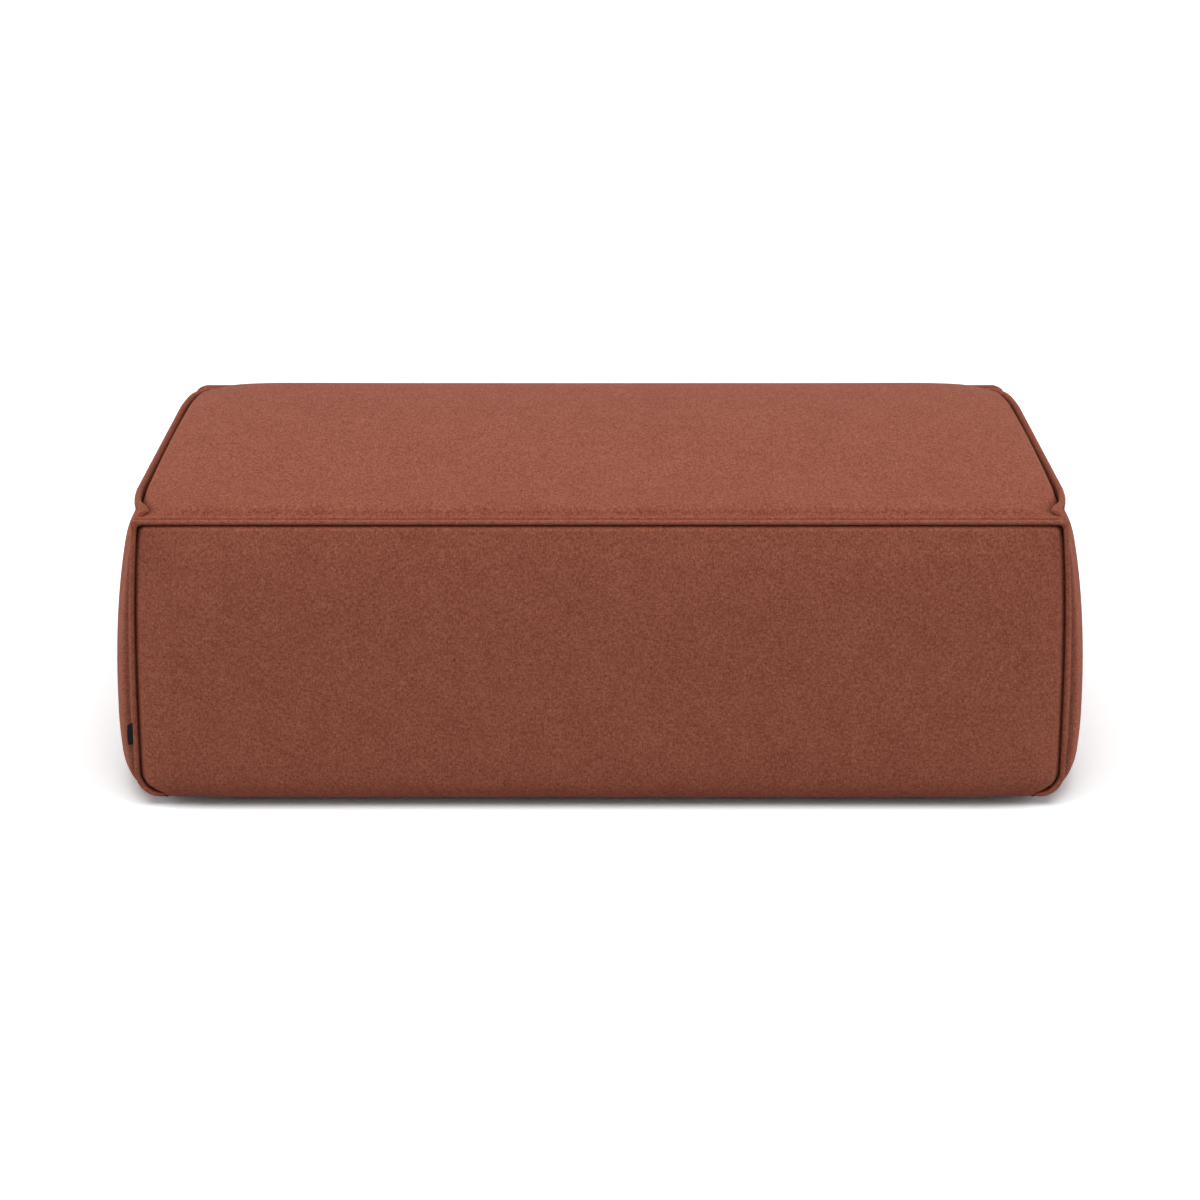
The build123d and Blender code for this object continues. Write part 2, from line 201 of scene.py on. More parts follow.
# The front panel: s from -1 to 1 across, q is the way down the wall and under, in millimetres
frontPanel = {
    "top": 392.7,            # height of the crevice below the top lip
    "creviceDepth": 6.5,     # how far behind the seam plane the cloth dives
    "sideShallow": 4.0,      # the upright crevices are less deep
    "shallowReach": (8, 40),
    "edgeRise": 15.0,
    "edgeRadius": 11.0,
    "edgeStart": 1.1,        # width of the open crevice beside the lip
    "topRadius": 7.0,
    "topStart": 0.9,
    "tuck": 2.4,             # how far its border is sewn in beside the lip
    "tuckReach": 3.0,
    "sideReach": 105.0,
    "lowRoll": 28.0,         # radius of its rolled lower edge
    "lowEase": 60.0,
    "cornerLift": 7.0,       # how far its lower edge is drawn up to the corners
    "liftReach": 80.0,
}


def frontSurface(s, q):
    roll = frontPanel["lowRoll"]
    rollTop = body["lowest"] + roll
    wall = frontPanel["top"] - rollTop
    arc = roll * math.pi / 2
    angle = np.clip((q - wall) / roll, 0, math.pi / 2)
    under = np.clip(q - wall - arc, 0, None)
    z = np.where(q < wall, frontPanel["top"] - q, rollTop - roll * np.sin(angle))
    half = creviceX(z)
    x = s * half
    sideGap = edgeGap(half, s)
    topGap = np.clip(q, 0, None)
    edge = rounded(sideGap - frontPanel["edgeStart"], frontPanel["edgeRadius"])
    edge = edge * rounded(topGap - frontPanel["topStart"], frontPanel["topRadius"])
    x = x + np.sign(s) * frontPanel["tuck"] * (1 - rounded(sideGap, frontPanel["tuckReach"]))
    crown = body["frontCrown"] * easedOut(sideGap, frontPanel["sideReach"], 3) * wallFullness(z)
    inset = roll * (1 - np.cos(angle)) * smoothStep(sideGap, 0, frontPanel["lowEase"])
    out = -frontPanel["creviceDepth"] + frontPanel["edgeRise"] * edge + crown - inset
    shallow = smoothStep(topGap, *frontPanel["shallowReach"])
    out = out + frontPanel["sideShallow"] * shallow * (1 - edge)
    y = -body["halfDepth"] - out
    returnY = -body["halfDepth"] + body["roll"] + body["returnIn"]
    share = np.clip(under / body["returnIn"], 0, 1)
    y = y + (returnY - y) * share
    lifted = 1 - smoothStep(sideGap, 0, frontPanel["liftReach"])
    z = z + frontPanel["cornerLift"] * lifted * (1 - np.cos(angle)) * (1 - share)
    z = z + body["returnUp"] * smoothStep(share, 0, body["returnEase"])
    return np.stack([x, y, z], -1)


frontPanel["length"] = (frontPanel["top"] - body["lowest"] - frontPanel["lowRoll"]
                        + frontPanel["lowRoll"] * math.pi / 2 + body["returnIn"])

sidePanel = {
    "sideReach": 190.0,
    "firstRise": 0.22,       # the share of its crown that rises at once, beside the loops
    "rollStart": 8.0,
    "rollReach": 16.0,
    "grooveLeft": 0.2,       # how much of the upright groove is left at the top seam
    "topGroove": (50, 130),  # the top groove runs out towards the corners
    "shoulderDrop": 5.0,     # the cloth is flatter just under the seam
    "shoulderLevel": 18.0,
    "shoulderWidth": 16.0,
    "shoulderEase": (10, 30),    # down the wall and along it
    "cornerDrop": 2.6,       # and lies lower still beside the folded corner
    "cornerPlace": (52, 5),  # along the wall and down it
    "cornerWidth": (26, 6),
    "footPull": 4.0,         # its lower edge is drawn in towards the loops
    "footLevels": (60, 30),  # from above the roll to below its start
    "footStart": 10.0,
    "footReach": 110.0,
    "returnX": 546.0,        # where its turned-in edge ends, under the rail
    "returnEnd": 338.0,
    "returnCorner": 14.0,
    "foldedIn": 2.6,         # at the corners it lies inside the front panel's edge
    "foldedFrom": (280, 300),
    "foldedEase": 0.1,
}


# The right side panel: t from -1 at the front to 1 at the back, q down the wall and under
def sideSurface(t, q):
    rollTop = body["lowest"] + body["roll"]
    wall = clothTop - rollTop
    arc = body["roll"] * math.pi / 2
    angle = np.clip((q - wall) / body["roll"], 0, math.pi / 2)
    under = np.clip(q - wall - arc, 0, None)
    z = np.where(q < wall, clothTop - q, rollTop - body["roll"] * np.sin(angle))
    y = t * clothEnd
    endGap = edgeGap(body["halfDepth"], t)
    height = np.clip((z - body["lowest"]) / (body["seamTop"] - body["lowest"]), 0, 1)
    base = loopOuterX(z) + (sideSeamX(y) - loopOuterX(body["seamTop"])) * height**4
    firstRise = sidePanel["firstRise"] * rounded(
        endGap - sidePanel["rollStart"], sidePanel["rollReach"])
    lastRise = (1 - sidePanel["firstRise"]) * easedOut(endGap, sidePanel["sideReach"], 3)
    crown = body["sideCrown"] * (firstRise + lastRise) * wallFullness(z)
    left = sidePanel["grooveLeft"]
    ledge = (seamLedge(endGap, sideDip) * (left + (1 - left) * smoothStep(q, *seamFade))
             + seamLedge(q) * smoothStep(endGap, *sidePanel["topGroove"]))
    inset = body["roll"] * (1 - np.cos(angle))
    drop = (bell(q, sidePanel["shoulderLevel"], sidePanel["shoulderWidth"])
            * smoothStep(q, 0, sidePanel["shoulderEase"][0])
            * smoothStep(endGap, 0, sidePanel["shoulderEase"][1]))
    inset = inset + sidePanel["shoulderDrop"] * drop
    place, width = sidePanel["cornerPlace"], sidePanel["cornerWidth"]
    beside = bell(endGap, place[0], width[0]) * bell(q, place[1], width[1])
    inset = inset + sidePanel["cornerDrop"] * beside
    above, below = sidePanel["footLevels"]
    foot = smoothStep(q, wall - above, wall + below)
    foot = foot * (1 - smoothStep(endGap, sidePanel["footStart"], sidePanel["footReach"]))
    inset = inset + sidePanel["footPull"] * foot
    x = base + crown + ledge - inset
    share = np.clip(under / body["returnIn"], 0, 1)
    turned = smoothStep(sidePanel["returnEnd"] - np.abs(y), 0, sidePanel["returnCorner"])
    x = x + (sidePanel["returnX"] - x) * share * turned
    folded = smoothStep(np.abs(y), *sidePanel["foldedFrom"])
    z = z + sidePanel["foldedIn"] * folded * smoothStep(share, 0, sidePanel["foldedEase"])
    z = z + body["returnUp"] * smoothStep(share, 0, body["returnEase"])
    return np.stack([x, y, z], -1)


sidePanel["length"] = (clothTop - body["lowest"] - body["roll"]
                       + body["roll"] * math.pi / 2 + body["returnIn"])

topPanel = {
    "creviceDepth": 9.0,
    "diveStart": 0.7,
    "diveReach": 11.0,
    "tuck": 1.6,             # how far its border is sewn in under the side lips
    "tuckReach": 3.0,
    "sideRise": 0.64,        # the share of its crown that rises at once, beside the side lips
    "sideRoll": 15.0,
    "sideReach": 120.0,
    "endRise": 0.40,         # and behind the loops
    "endRollStart": 10.0,
    "endRoll": 14.0,
    "endStart": 8.0,
    "lipStart": 4.0,         # the side lips end this far behind the seam plane
    "lipFull": 22.0,
    "knotX": 600.0,          # the corner knots hold the cloth down
    "knotY": 330.0,
    "knotReach": 34.0,
    "backKnotReach": 30.0,
    "knotPull": 0.85,
}


# How far the side lip is there, along the depth: 1 in its run, 0 at the corners
def lipShare(y):
    distance = body["halfDepth"] - np.abs(y)
    return smoothStep(distance, topPanel["lipStart"], topPanel["lipFull"])


# The top panel: s from -1 to 1 across, t from -1 at the front to 1 at the back
def topSurface(s, t):
    y = t * clothEnd
    share = lipShare(y)
    half = sideSeamX(y) - (lip["sideThickness"] + lip["sideGap"]) * share
    x = s * half
    sideGap = edgeGap(half, s)
    endGap = edgeGap(body["halfDepth"], t)
    across = (topPanel["sideRise"] * rounded(sideGap, topPanel["sideRoll"])
              + (1 - topPanel["sideRise"]) * easedOut(sideGap, topPanel["sideReach"], 2))
    start = topPanel["endStart"]
    along = (topPanel["endRise"] * rounded(endGap - topPanel["endRollStart"], topPanel["endRoll"])
             + (1 - topPanel["endRise"]) * easedOut(endGap - start, body["halfDepth"] - start, 2))
    knotGap = np.hypot(np.abs(x) - topPanel["knotX"], np.abs(y) - topPanel["knotY"])
    reach = np.where(y > 0, topPanel["backKnotReach"], topPanel["knotReach"])
    held = topPanel["knotPull"] * bell(knotGap, 0, reach)
    lift = body["topCrown"] * across * along * (1 - held)
    dive = rounded(sideGap - topPanel["diveStart"], topPanel["diveReach"])
    dive = topPanel["creviceDepth"] * share * (1 - dive)
    tuck = (lip["sideGap"] + topPanel["tuck"]) * share
    x = x + np.sign(s) * tuck * (1 - rounded(sideGap, topPanel["tuckReach"]))
    ledge = seamLedge(endGap) * smoothStep(sideGap, *seamFade)
    z = clothTop + lift - dive + ledge
    return np.stack([x, y, z], -1)


clothSettings = {
    "thickness": 2.4,        # of the cloth with its backing, in millimetres
    "mass": 0.3,
    "stiffness": 40.0,
    "shear": 20.0,
    "bending": 0.4,
    "airDamping": 2.0,
    "pressure": 3.0,
    "slack": 0.006,          # how much larger than its frame the cloth is cut
    "quality": 6,
    "frames": 20,
    "swell": 2.4,            # how far the padding may push the cloth out, in millimetres
    "crease": 0.2,           # how much of the cloth's own creases stays
    "creaseCap": 0.7,
    "creaseReach": 4,        # grid steps over which creases are told from the swell
    "holdReach": 3,          # grid steps over which the seams' hold eases off
}


def averaged(grid, reach):
    for axis in (0, 1):
        margins = [(reach, reach) if k == axis else (0, 0) for k in range(grid.ndim)]
        wide = np.pad(grid, margins, mode="edge")
        count = grid.shape[axis]
        taken = [np.take(wide, range(k, k + count), axis) for k in range(2 * reach + 1)]
        grid = sum(taken) / len(taken)
    return grid


def limited(moves, cap):
    length = np.linalg.norm(moves, axis=-1, keepdims=True)
    return moves * (cap * np.tanh(length / cap) / np.maximum(length, 1e-9))


# Cloth simulation of one panel on an even grid: its border is held by the seams, the padding
# presses it out, and each point may move no further than the caps. Gives the moves as a grid.
def simulatePanel(name, surface, across, down, held, flip, settings):
    rows, columns = len(down), len(across)
    s, q = np.meshgrid(across, down)
    start = surface(s, q)
    faces = []
    for r in range(rows - 1):
        for c in range(columns - 1):
            a = r * columns + c
            quad = [a, a + columns, a + columns + 1, a + 1]
            faces.append(quad[::-1] if flip else quad)
    mesh = bpy.data.meshes.new(name + "Cloth")
    mesh.from_pydata((start.reshape(-1, 3) * millimetre).tolist(), [], faces)
    cloth = linkObject(name + "Cloth", mesh)
    sewn = held(s, q)
    group = cloth.vertex_groups.new(name="sewn")
    group.add(np.flatnonzero(sewn.ravel()).tolist(), 1.0, "REPLACE")
    modifier = cloth.modifiers.new("cloth", "CLOTH")
    values = modifier.settings
    values.quality = settings["quality"]
    values.mass = settings["mass"]
    values.tension_stiffness = settings["stiffness"]
    values.compression_stiffness = settings["stiffness"]
    values.shear_stiffness = settings["shear"]
    values.bending_stiffness = settings["bending"]
    values.air_damping = settings["airDamping"]
    values.vertex_group_mass = "sewn"
    values.use_pressure = True
    values.uniform_pressure_force = settings["pressure"]
    values.shrink_min = -settings["slack"]
    values.effector_weights.gravity = 0
    modifier.collision_settings.use_collision = False
    modifier.collision_settings.use_self_collision = False
    modifier.point_cache.frame_start = 1
    modifier.point_cache.frame_end = settings["frames"]
    scene = bpy.context.scene
    for step in range(1, settings["frames"] + 1):
        scene.frame_set(step)
    result = cloth.evaluated_get(bpy.context.evaluated_depsgraph_get())
    after = np.zeros(rows * columns * 3)
    result.data.vertices.foreach_get("co", after)
    scene.frame_set(1)
    bpy.data.objects.remove(cloth)
    bpy.data.meshes.remove(mesh)
    moves = after.reshape(rows, columns, 3) / millimetre - start
    free = 1.0 - sewn
    eased = free * np.clip(2 * averaged(free, settings["holdReach"]) - 1, 0, 1)
    smooth = averaged(averaged(moves, settings["creaseReach"]), settings["creaseReach"])
    creases = limited((moves - smooth) * settings["crease"], settings["creaseCap"])
    kept = (limited(smooth, settings["swell"]) + creases) * eased[..., None]
    furthest = np.linalg.norm(kept, axis=-1).max()
    print(f"  {name}: padding moved the cloth {furthest:.1f} mm at most")
    return kept


# Weights that read evenly spaced values smoothly between their places
def smoothWeights(places, values):
    step = (places[-1] - places[0]) / (len(places) - 1)
    weights = np.zeros((len(values), len(places)))
    for row, value in enumerate(values):
        at = (value - places[0]) / step
        first = int(np.clip(math.floor(at), 0, len(places) - 2))
        t = at - first
        blend = [2 * t**2 - t - t**3, 3 * t**3 - 5 * t**2 + 2,
                 4 * t**2 + t - 3 * t**3, t**3 - t**2]
        for k, share in enumerate(blend):
            weights[row, min(max(first - 1 + k, 0), len(places) - 1)] += share / 2
    return weights


def linkObject(name, mesh):
    made = bpy.data.objects.new(name, mesh)
    bpy.context.scene.collection.objects.link(made)
    return made


# A grid of points as a mesh, with its cloth map in metres along the weave and, when given, the
# painted shade of its seams
def gridMesh(name, points, u, v, flip=False, wrap=False, paintedShade=None):
    rows, columns = points.shape[:2]
    faces, corners = [], []
    lastColumn = columns if wrap else columns - 1
    for r in range(rows - 1):
        for c in range(lastColumn):
            d = (c + 1) % columns
            quad = [(r, c), (r + 1, c), (r + 1, d), (r, d)]
            if flip:
                quad.reverse()
            faces.append([i * columns + j for i, j in quad])
            corners += quad
    mesh = bpy.data.meshes.new(name)
    mesh.from_pydata((points.reshape(-1, 3) * millimetre).tolist(), [], faces)
    layer = mesh.uv_layers.new(name="clothMap")
    index = np.array(corners)
    values = np.stack([u[index[:, 0], index[:, 1]], v[index[:, 0], index[:, 1]]], -1)
    layer.data.foreach_set("uv", (values * millimetre).ravel())
    # painted shade: how far the colour is darkened in the seams' grooves and crevices, read by the
    # wool material
    if paintedShade is not None:
        layer = mesh.attributes.new("paintedShade", "FLOAT", "POINT")
        layer.data.foreach_set("value", np.array(paintedShade, dtype=np.float32).ravel())
    mesh.shade_smooth()
    return mesh


# Puts a finished piece on the root body and hides the node that it stands for
def declare(made, node):
    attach(made, "root")
    if node is not None:
        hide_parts(node)
    return made


def applyModifiers(made):
    graph = bpy.context.evaluated_depsgraph_get()
    finished = bpy.data.meshes.new_from_object(made.evaluated_get(graph), depsgraph=graph)
    made.modifiers.clear()
    made.data = finished


# Gives a sheet its real thickness, inwards
def thicken(made, thickness):
    solid = made.modifiers.new("thickness", "SOLIDIFY")
    solid.thickness = thickness * millimetre
    solid.offset = -1
    applyModifiers(made)


# Lengths along the rows and columns of a grid, for the weave to follow
def clothLengths(points):
    alongRow = np.linalg.norm(np.diff(points, axis=1), axis=-1)
    alongColumn = np.linalg.norm(np.diff(points, axis=0), axis=-1)
    middleRow = points.shape[0] // 2
    middleColumn = points.shape[1] // 2
    u = np.concatenate([[0], np.cumsum(alongRow[middleRow])])
    v = np.concatenate([[0], np.cumsum(alongColumn[:, middleColumn])])
    return np.broadcast_to(u, points.shape[:2]), np.broadcast_to(v[:, None], points.shape[:2])


# The weave of the top is drawn twice as long along its depth, so that its grain looks even from
# the front: its map is squeezed by this share, from this far behind the front seam on
topWeave = {"squeeze": 0.5, "from": 70.0, "ease": 60.0}


# One panel: its surface on a fine grid, with the moves of its cloth simulation read onto it. The
# offset sets where on the bolt its cloth is cut
def makePanel(name, node, surface, lines, simLines, held, shade, flip, offset, squeeze=0.0):
    s, q = np.meshgrid(*lines)
    points = surface(s, q)
    moves = simulatePanel(name, surface, simLines[0], simLines[1], held, flip, clothSettings)
    across, down = smoothWeights(simLines[0], lines[0]), smoothWeights(simLines[1], lines[1])
    points = points + np.einsum("ri,ijk,cj->rck", down, moves, across)
    u, v = clothLengths(points)
    ease = topWeave["ease"]
    v = v - squeeze * ease * np.log(np.cosh(np.clip(v - topWeave["from"], 0, None) / ease))
    made = linkObject(name, gridMesh(name, points, u + offset[0], v + offset[1], flip,
                                     paintedShade=shade(s, q)))
    thicken(made, clothSettings["thickness"])
    return declare(made, node)


def mirroredY(surface):
    return lambda s, q: surface(s, q) * np.array([1, -1, 1])


def mirroredX(surface):
    return lambda s, q: surface(s, q) * np.array([-1, 1, 1])


print("stage: cover panels")
acrossLines = gridLines(body["halfWidth"], 0.8, 12, 70)
depthLines = gridLines(body["halfDepth"], 0.7, 10, 60)
frontDown = gridLines(frontPanel["length"], 0.8, 9, 50, True) * frontPanel["length"]
sideDown = gridLines(sidePanel["length"], 0.7, 8, 60, True) * sidePanel["length"]

# The even grids of the simulation, and how near its seams the cloth is held in it
evenAcross, evenDepth = np.linspace(-1, 1, 122), np.linspace(-1, 1, 70)
evenFrontDown = np.linspace(0, frontPanel["length"], 46)
evenSideDown = np.linspace(0, sidePanel["length"], 46)
hold = {"front": 9.0, "side": 11.0, "under": 50.0}


def frontHeld(s, q):
    return ((edgeGap(body["halfWidth"], s) < hold["front"]) | (q < hold["front"])
            | (q > frontPanel["length"] - hold["under"]))


def sideHeld(t, q):
    return ((edgeGap(body["halfDepth"], t) < hold["side"]) | (q < hold["side"])
            | (q > sidePanel["length"] - hold["under"]))


def topHeld(s, t):
    return ((edgeGap(body["halfWidth"], s) < hold["front"])
            | (edgeGap(body["halfDepth"], t) < hold["side"]))


# Where painted shade darkens the pile: the front only just under its lip, the sides beside the
# loops and the side lips but not in the corners, the top behind the loops
def frontShade(s, q):
    return 0.3 * bell(q, 0, 3)


def sideShade(t, q):
    endGap = edgeGap(body["halfDepth"], t)
    shade = np.maximum(seamShade(endGap, sideDip), seamShade(q))
    return shade * smoothStep(endGap + q, 12, 26)


def topShade(s, t):
    shade = seamShade(edgeGap(body["halfDepth"], t), shadeDip)
    return shade * smoothStep(edgeGap(body["halfWidth"], s), *seamFade)


frontWay = ((acrossLines, frontDown), (evenAcross, evenFrontDown), frontHeld, frontShade)
sideWay = ((depthLines, sideDown), (evenDepth, evenSideDown), sideHeld, sideShade)
topWay = ((acrossLines, depthLines), (evenAcross, evenDepth), topHeld, topShade)
panels = [
    makePanel("frontPanel", "front_cover_panel", frontSurface, *frontWay, False, (0, 0)),
    makePanel("backPanel", "back_cover_panel", mirroredY(frontSurface), *frontWay, True,
              (1700, 900)),
    makePanel("rightPanel", "right_cover_panel", sideSurface, *sideWay, False, (3300, 400)),
    makePanel("leftPanel", "left_cover_panel", mirroredX(sideSurface), *sideWay, True,
              (5100, 1300)),
    makePanel("topPanel", "top_cover_panel", topSurface, *topWay, True, (800, 2500),
              topWeave["squeeze"]),
]

innerFace, roundEdge, outerFace = 5, 8, 13     # points on each side of a lip's section


# The lip's section: (out, across) in millimetres, out of the seam and across its thickness. Its
# outer face falls into the stitched groove
def lipSection(standOut, thickness, root, grooveFall):
    r = thickness / 2
    start = lip["innerStart"]
    points = [(-root * share, depth) for share, depth in lip["rootInner"]]
    for k in range(innerFace):
        up = k / (innerFace - 1)
        points.append((standOut * start + (standOut * (1 - start) - r) * up, 0.0))
    for k in range(1, roundEdge + 1):
        a = -math.pi / 2 + math.pi * k / (roundEdge + 1)
        points.append((standOut - r + r * math.cos(a), r + r * math.sin(a)))
    for k in range(outerFace):
        down = k / (outerFace - 1)
        out = (standOut - r) * (1 - down) - lip["outerDepth"] * down
        bulge = lip["bulge"] * math.sin(math.pi * down)
        fall = grooveFall * math.exp(-((abs(out + lip["fallPlace"]) / lip["fallWidth"]) ** 1.4))
        points.append((out, thickness + bulge - fall))
    points += [(-root * share, thickness - depth) for share, depth in lip["rootOuter"]]
    return np.array(points)


def closeEnds(made):
    shape = bmesh.new()
    shape.from_mesh(made.data)
    bmesh.ops.holes_fill(shape, edges=[e for e in shape.edges if e.is_boundary])
    bmesh.ops.recalc_face_normals(shape, faces=shape.faces)
    shape.to_mesh(made.data)
    shape.free()


# A lip from the rings of its section, with its distances out of the seam. Its pile gets painted
# shade where its outer face goes down into the groove
def sweepLip(name, node, rings, outs, along, offset):
    rings, outs = np.array(rings), np.array(outs)
    onOuterFace = np.arange(outs.shape[1]) > innerFace + roundEdge + 1
    paintedShade = bell(outs, 0, lip["shadeWidth"]) * onOuterFace
    around = np.linspace(0, 40, rings.shape[1])
    u = np.broadcast_to(around, rings.shape[:2]) + offset
    v = np.broadcast_to(along[:, None], rings.shape[:2]) + offset
    made = linkObject(name, gridMesh(name, rings, u, v, wrap=True, paintedShade=paintedShade))
    closeEnds(made)
    return declare(made, node)


# The crevice line of the front loop, from under the left corner over the top to under the right,
# with the length along it
def loopPath():
    rollTop = body["lowest"] + body["roll"]
    lowX = float(creviceX(np.array(rollTop))) - lip["lowerRadius"]
    corner = [(lowX + lip["lowerRadius"] * math.cos(a), rollTop - lip["lowerRadius"] * math.sin(a))
              for a in np.linspace(math.pi / 2, 0, 24)]
    foot = [(lowX - (lowX - lip["endX"]) * k, corner[0][1] + lip["endRise"] * k**2)
            for k in np.linspace(1, 0, 8)[:-1]]
    wallTop = body["seamTop"] - lip["thickness"] - lip["cornerRadius"]
    wall = [(float(creviceX(np.array(z))), z) for z in np.linspace(rollTop + 3, wallTop, 90)]
    r = lip["cornerRadius"]
    topX = wall[-1][0] - r
    turn = [(topX + r * math.cos(a), wallTop + r * math.sin(a))
            for a in np.linspace(0.06, math.pi / 2, 24)]
    run = [(x, wallTop + r) for x in np.linspace(topX, 0, 120)[1:]]
    right = foot + corner + wall + turn + run
    line = np.array([(-x, z) for x, z in right[:-1]] + right[::-1])
    steps = np.linalg.norm(np.diff(line, axis=0), axis=1)
    return line, np.concatenate([[0], np.cumsum(steps)])


def makeLoop(name, node, sign, offset, rise):
    line, along = loopPath()
    tangent = np.gradient(line, axis=0)
    tangent /= np.linalg.norm(tangent, axis=1, keepdims=True)
    normal = np.stack([-tangent[:, 1], tangent[:, 0]], -1)
    endGap = np.minimum(along, along[-1] - along)
    rings, outs = [], []
    for k in range(len(line)):
        full = lip["cornerFullness"]
        square = (abs(normal[k, 0]) ** full + abs(normal[k, 1]) ** full) ** (-1 / full) - 1
        square *= line[k, 1] > body["seamTop"] / 2
        taper = float(easedOut(endGap[k], lip["endReach"], 2))
        section = lipSection(lip["standOut"], lip["thickness"], lip["root"], lip["grooveFall"])
        out = section[:, 0] - (lip["standOut"] + lip["endSink"]) * (1 - taper)
        outs.append(out)
        across = lip["gap"] + section[:, 1] * (lip["endThin"] + (1 - lip["endThin"]) * taper)
        across += across / lip["thickness"] * (lip["cornerRadius"] + across) * square
        tilt = rise * float(smoothStep(normal[k, 1], *lip["backTurn"]))
        tilt = tilt * smoothStep(out, *lip["backHinge"])
        across, out = (across * np.cos(tilt) + np.clip(out, 0, None) * np.sin(tilt),
                       out - np.clip(out, 0, None) * (1 - np.cos(tilt)) - across * np.sin(tilt))
        x = line[k, 0] + normal[k, 0] * across
        z = line[k, 1] + normal[k, 1] * across
        z = z + lip["backLift"] * np.sin(tilt) / math.sin(lip["backRise"])
        y = sign * (body["halfDepth"] + out)
        rings.append(np.stack([x, y, z], -1))
    return sweepLip(name, node, rings, outs, along, offset)


# The upright lip along a side seam. Towards each end it leans in, is folded flat over the top
# panel and is cut off slantwise, into the corner
sideLip = {
    "lean": 0.02,
    "flare": 0.14,           # just before the fold it is pushed outwards
    "flarePlace": 46.0,      # distances along it are from the seam plane of the loop
    "flareWidth": 12.0,
    "foldEnd": 7.0,
    "hinge": 3.0,            # it bends over this length above and below the seam
    "endSink": 8.0,
    "flapLift": 0.6,
    "foldedThickness": 0.62,
    "grooveEase": (30, 60),  # its outer groove runs out before the fold
    # the painted groove shade is moved off the outer face by this much where the groove runs out
    "shadeOff": 8.0,
    "fineLength": 70.0,      # the ends have finer rings than the run between them
}

# How each end is folded: how far it leans, where the fold starts and has its tip, and how far the
# tip reaches in
frontFold = {"lean": 1.3, "start": 31.0, "tip": 15.0, "reach": 14.0}
backFold = {"lean": 0.45, "start": 62.0, "tip": 36.0, "reach": 6.5}


def makeSideLip(name, node, sign, offset):
    half = body["halfDepth"] - sideLip["foldEnd"]
    ends = np.linspace(0, sideLip["fineLength"], 80)
    run = np.linspace(sideLip["fineLength"], 2 * half - sideLip["fineLength"], 150)
    along = np.concatenate([ends[:-1], run, (2 * half - ends)[::-1][1:]])
    rings, outs = [], []
    for y in along - half:
        distance = body["halfDepth"] - abs(y)
        fold = frontFold if y < 0 else backFold
        folded = (fold["start"] - distance) / (fold["start"] - fold["tip"])
        folded = min(max(folded, 0.0), 1.0)
        flare = float(bell(distance, sideLip["flarePlace"], sideLip["flareWidth"]))
        lean = math.asin(folded * math.sin(fold["lean"])) - sideLip["flare"] * flare
        lean += sideLip["lean"]
        height = lip["standOut"] + (fold["reach"] - lip["standOut"]) * folded
        cut = (distance - sideLip["foldEnd"]) / (fold["tip"] - sideLip["foldEnd"])
        cut = min(max(cut, 0.0), 1.0)
        height *= cut
        thick = lip["sideThickness"] * (1 - (1 - sideLip["foldedThickness"]) * folded)
        groove = float(smoothStep(distance, *sideLip["grooveEase"]))
        section = lipSection(lip["standOut"], thick, lip["root"], lip["grooveFall"] * groove)
        up = section[:, 0] * np.where(section[:, 0] > 0, height / lip["standOut"], 1)
        outs.append(section[:, 0] + sideLip["shadeOff"] * (1 - groove))
        across = section[:, 1] - thick / 2
        pivotX = float(sideSeamX(y)) - lip["sideThickness"] / 2
        raised = np.clip(up, 0, None)
        turned = lean * smoothStep(up, -sideLip["hinge"], sideLip["hinge"])
        x = pivotX + across * np.cos(turned) - raised * np.sin(turned)
        z = clothTop + up - raised * (1 - np.cos(turned)) + across * np.sin(turned)
        z += thick * sideLip["flapLift"] * folded * smoothStep(up, 0, sideLip["hinge"])
        z -= sideLip["endSink"] * (1 - cut) ** 2
        rings.append(np.stack([sign * x, np.full_like(x, y), z], -1))
    return sweepLip(name, node, rings, outs, along, offset)


print("stage: flange seams")
lips = [
    makeLoop("frontFlange", "front_flange_seam", -1, 200, 0.0),
    makeLoop("backFlange", "back_flange_seam", 1, 3200, lip["backRise"]),
    makeSideLip("rightFlange", "right_flange_seam", 1, 6200),
    makeSideLip("leftFlange", "left_flange_seam", -1, 8200),
]


# A softened copy of a foam node: its edges are rounded, it is smaller by a little and it lies
# clear inside the cover
def makeFoamCopy(name, node, voxel, shrink, limit=None):
    made = linkObject(name, nodes[node].data.copy())
    remesh = made.modifiers.new("remesh", "REMESH")
    remesh.mode = "VOXEL"
    remesh.voxel_size = voxel * millimetre
    soften = made.modifiers.new("soften", "SMOOTH")
    soften.iterations = 8
    applyModifiers(made)
    mesh = made.data
    points = np.zeros(len(mesh.vertices) * 3)
    normals = np.zeros(len(mesh.vertices) * 3)
    mesh.vertices.foreach_get("co", points)
    mesh.vertices.foreach_get("normal", normals)
    points = points.reshape(-1, 3) / millimetre - normals.reshape(-1, 3) * shrink
    if limit is not None:
        points = limit(points)
    mesh.vertices.foreach_set("co", (points * millimetre).ravel())
    mesh.update()
    mesh.shade_smooth()
    return declare(made, node)


# The small blank tag: a black ribbon folded double, sewn into the groove of the left front seam
tag = {
    "low": 87.5,
    "height": 28.0,
    "reach": 10.0,
    "root": 2.0,
    "behind": 0.6,           # where it leaves the seam, behind the seam plane
    "lift": 0.25,            # how far it stands off the side panel
    "layers": 1.5,           # thickness of the two layers
    "droop": 7.0,
    "wave": 0.35,
}


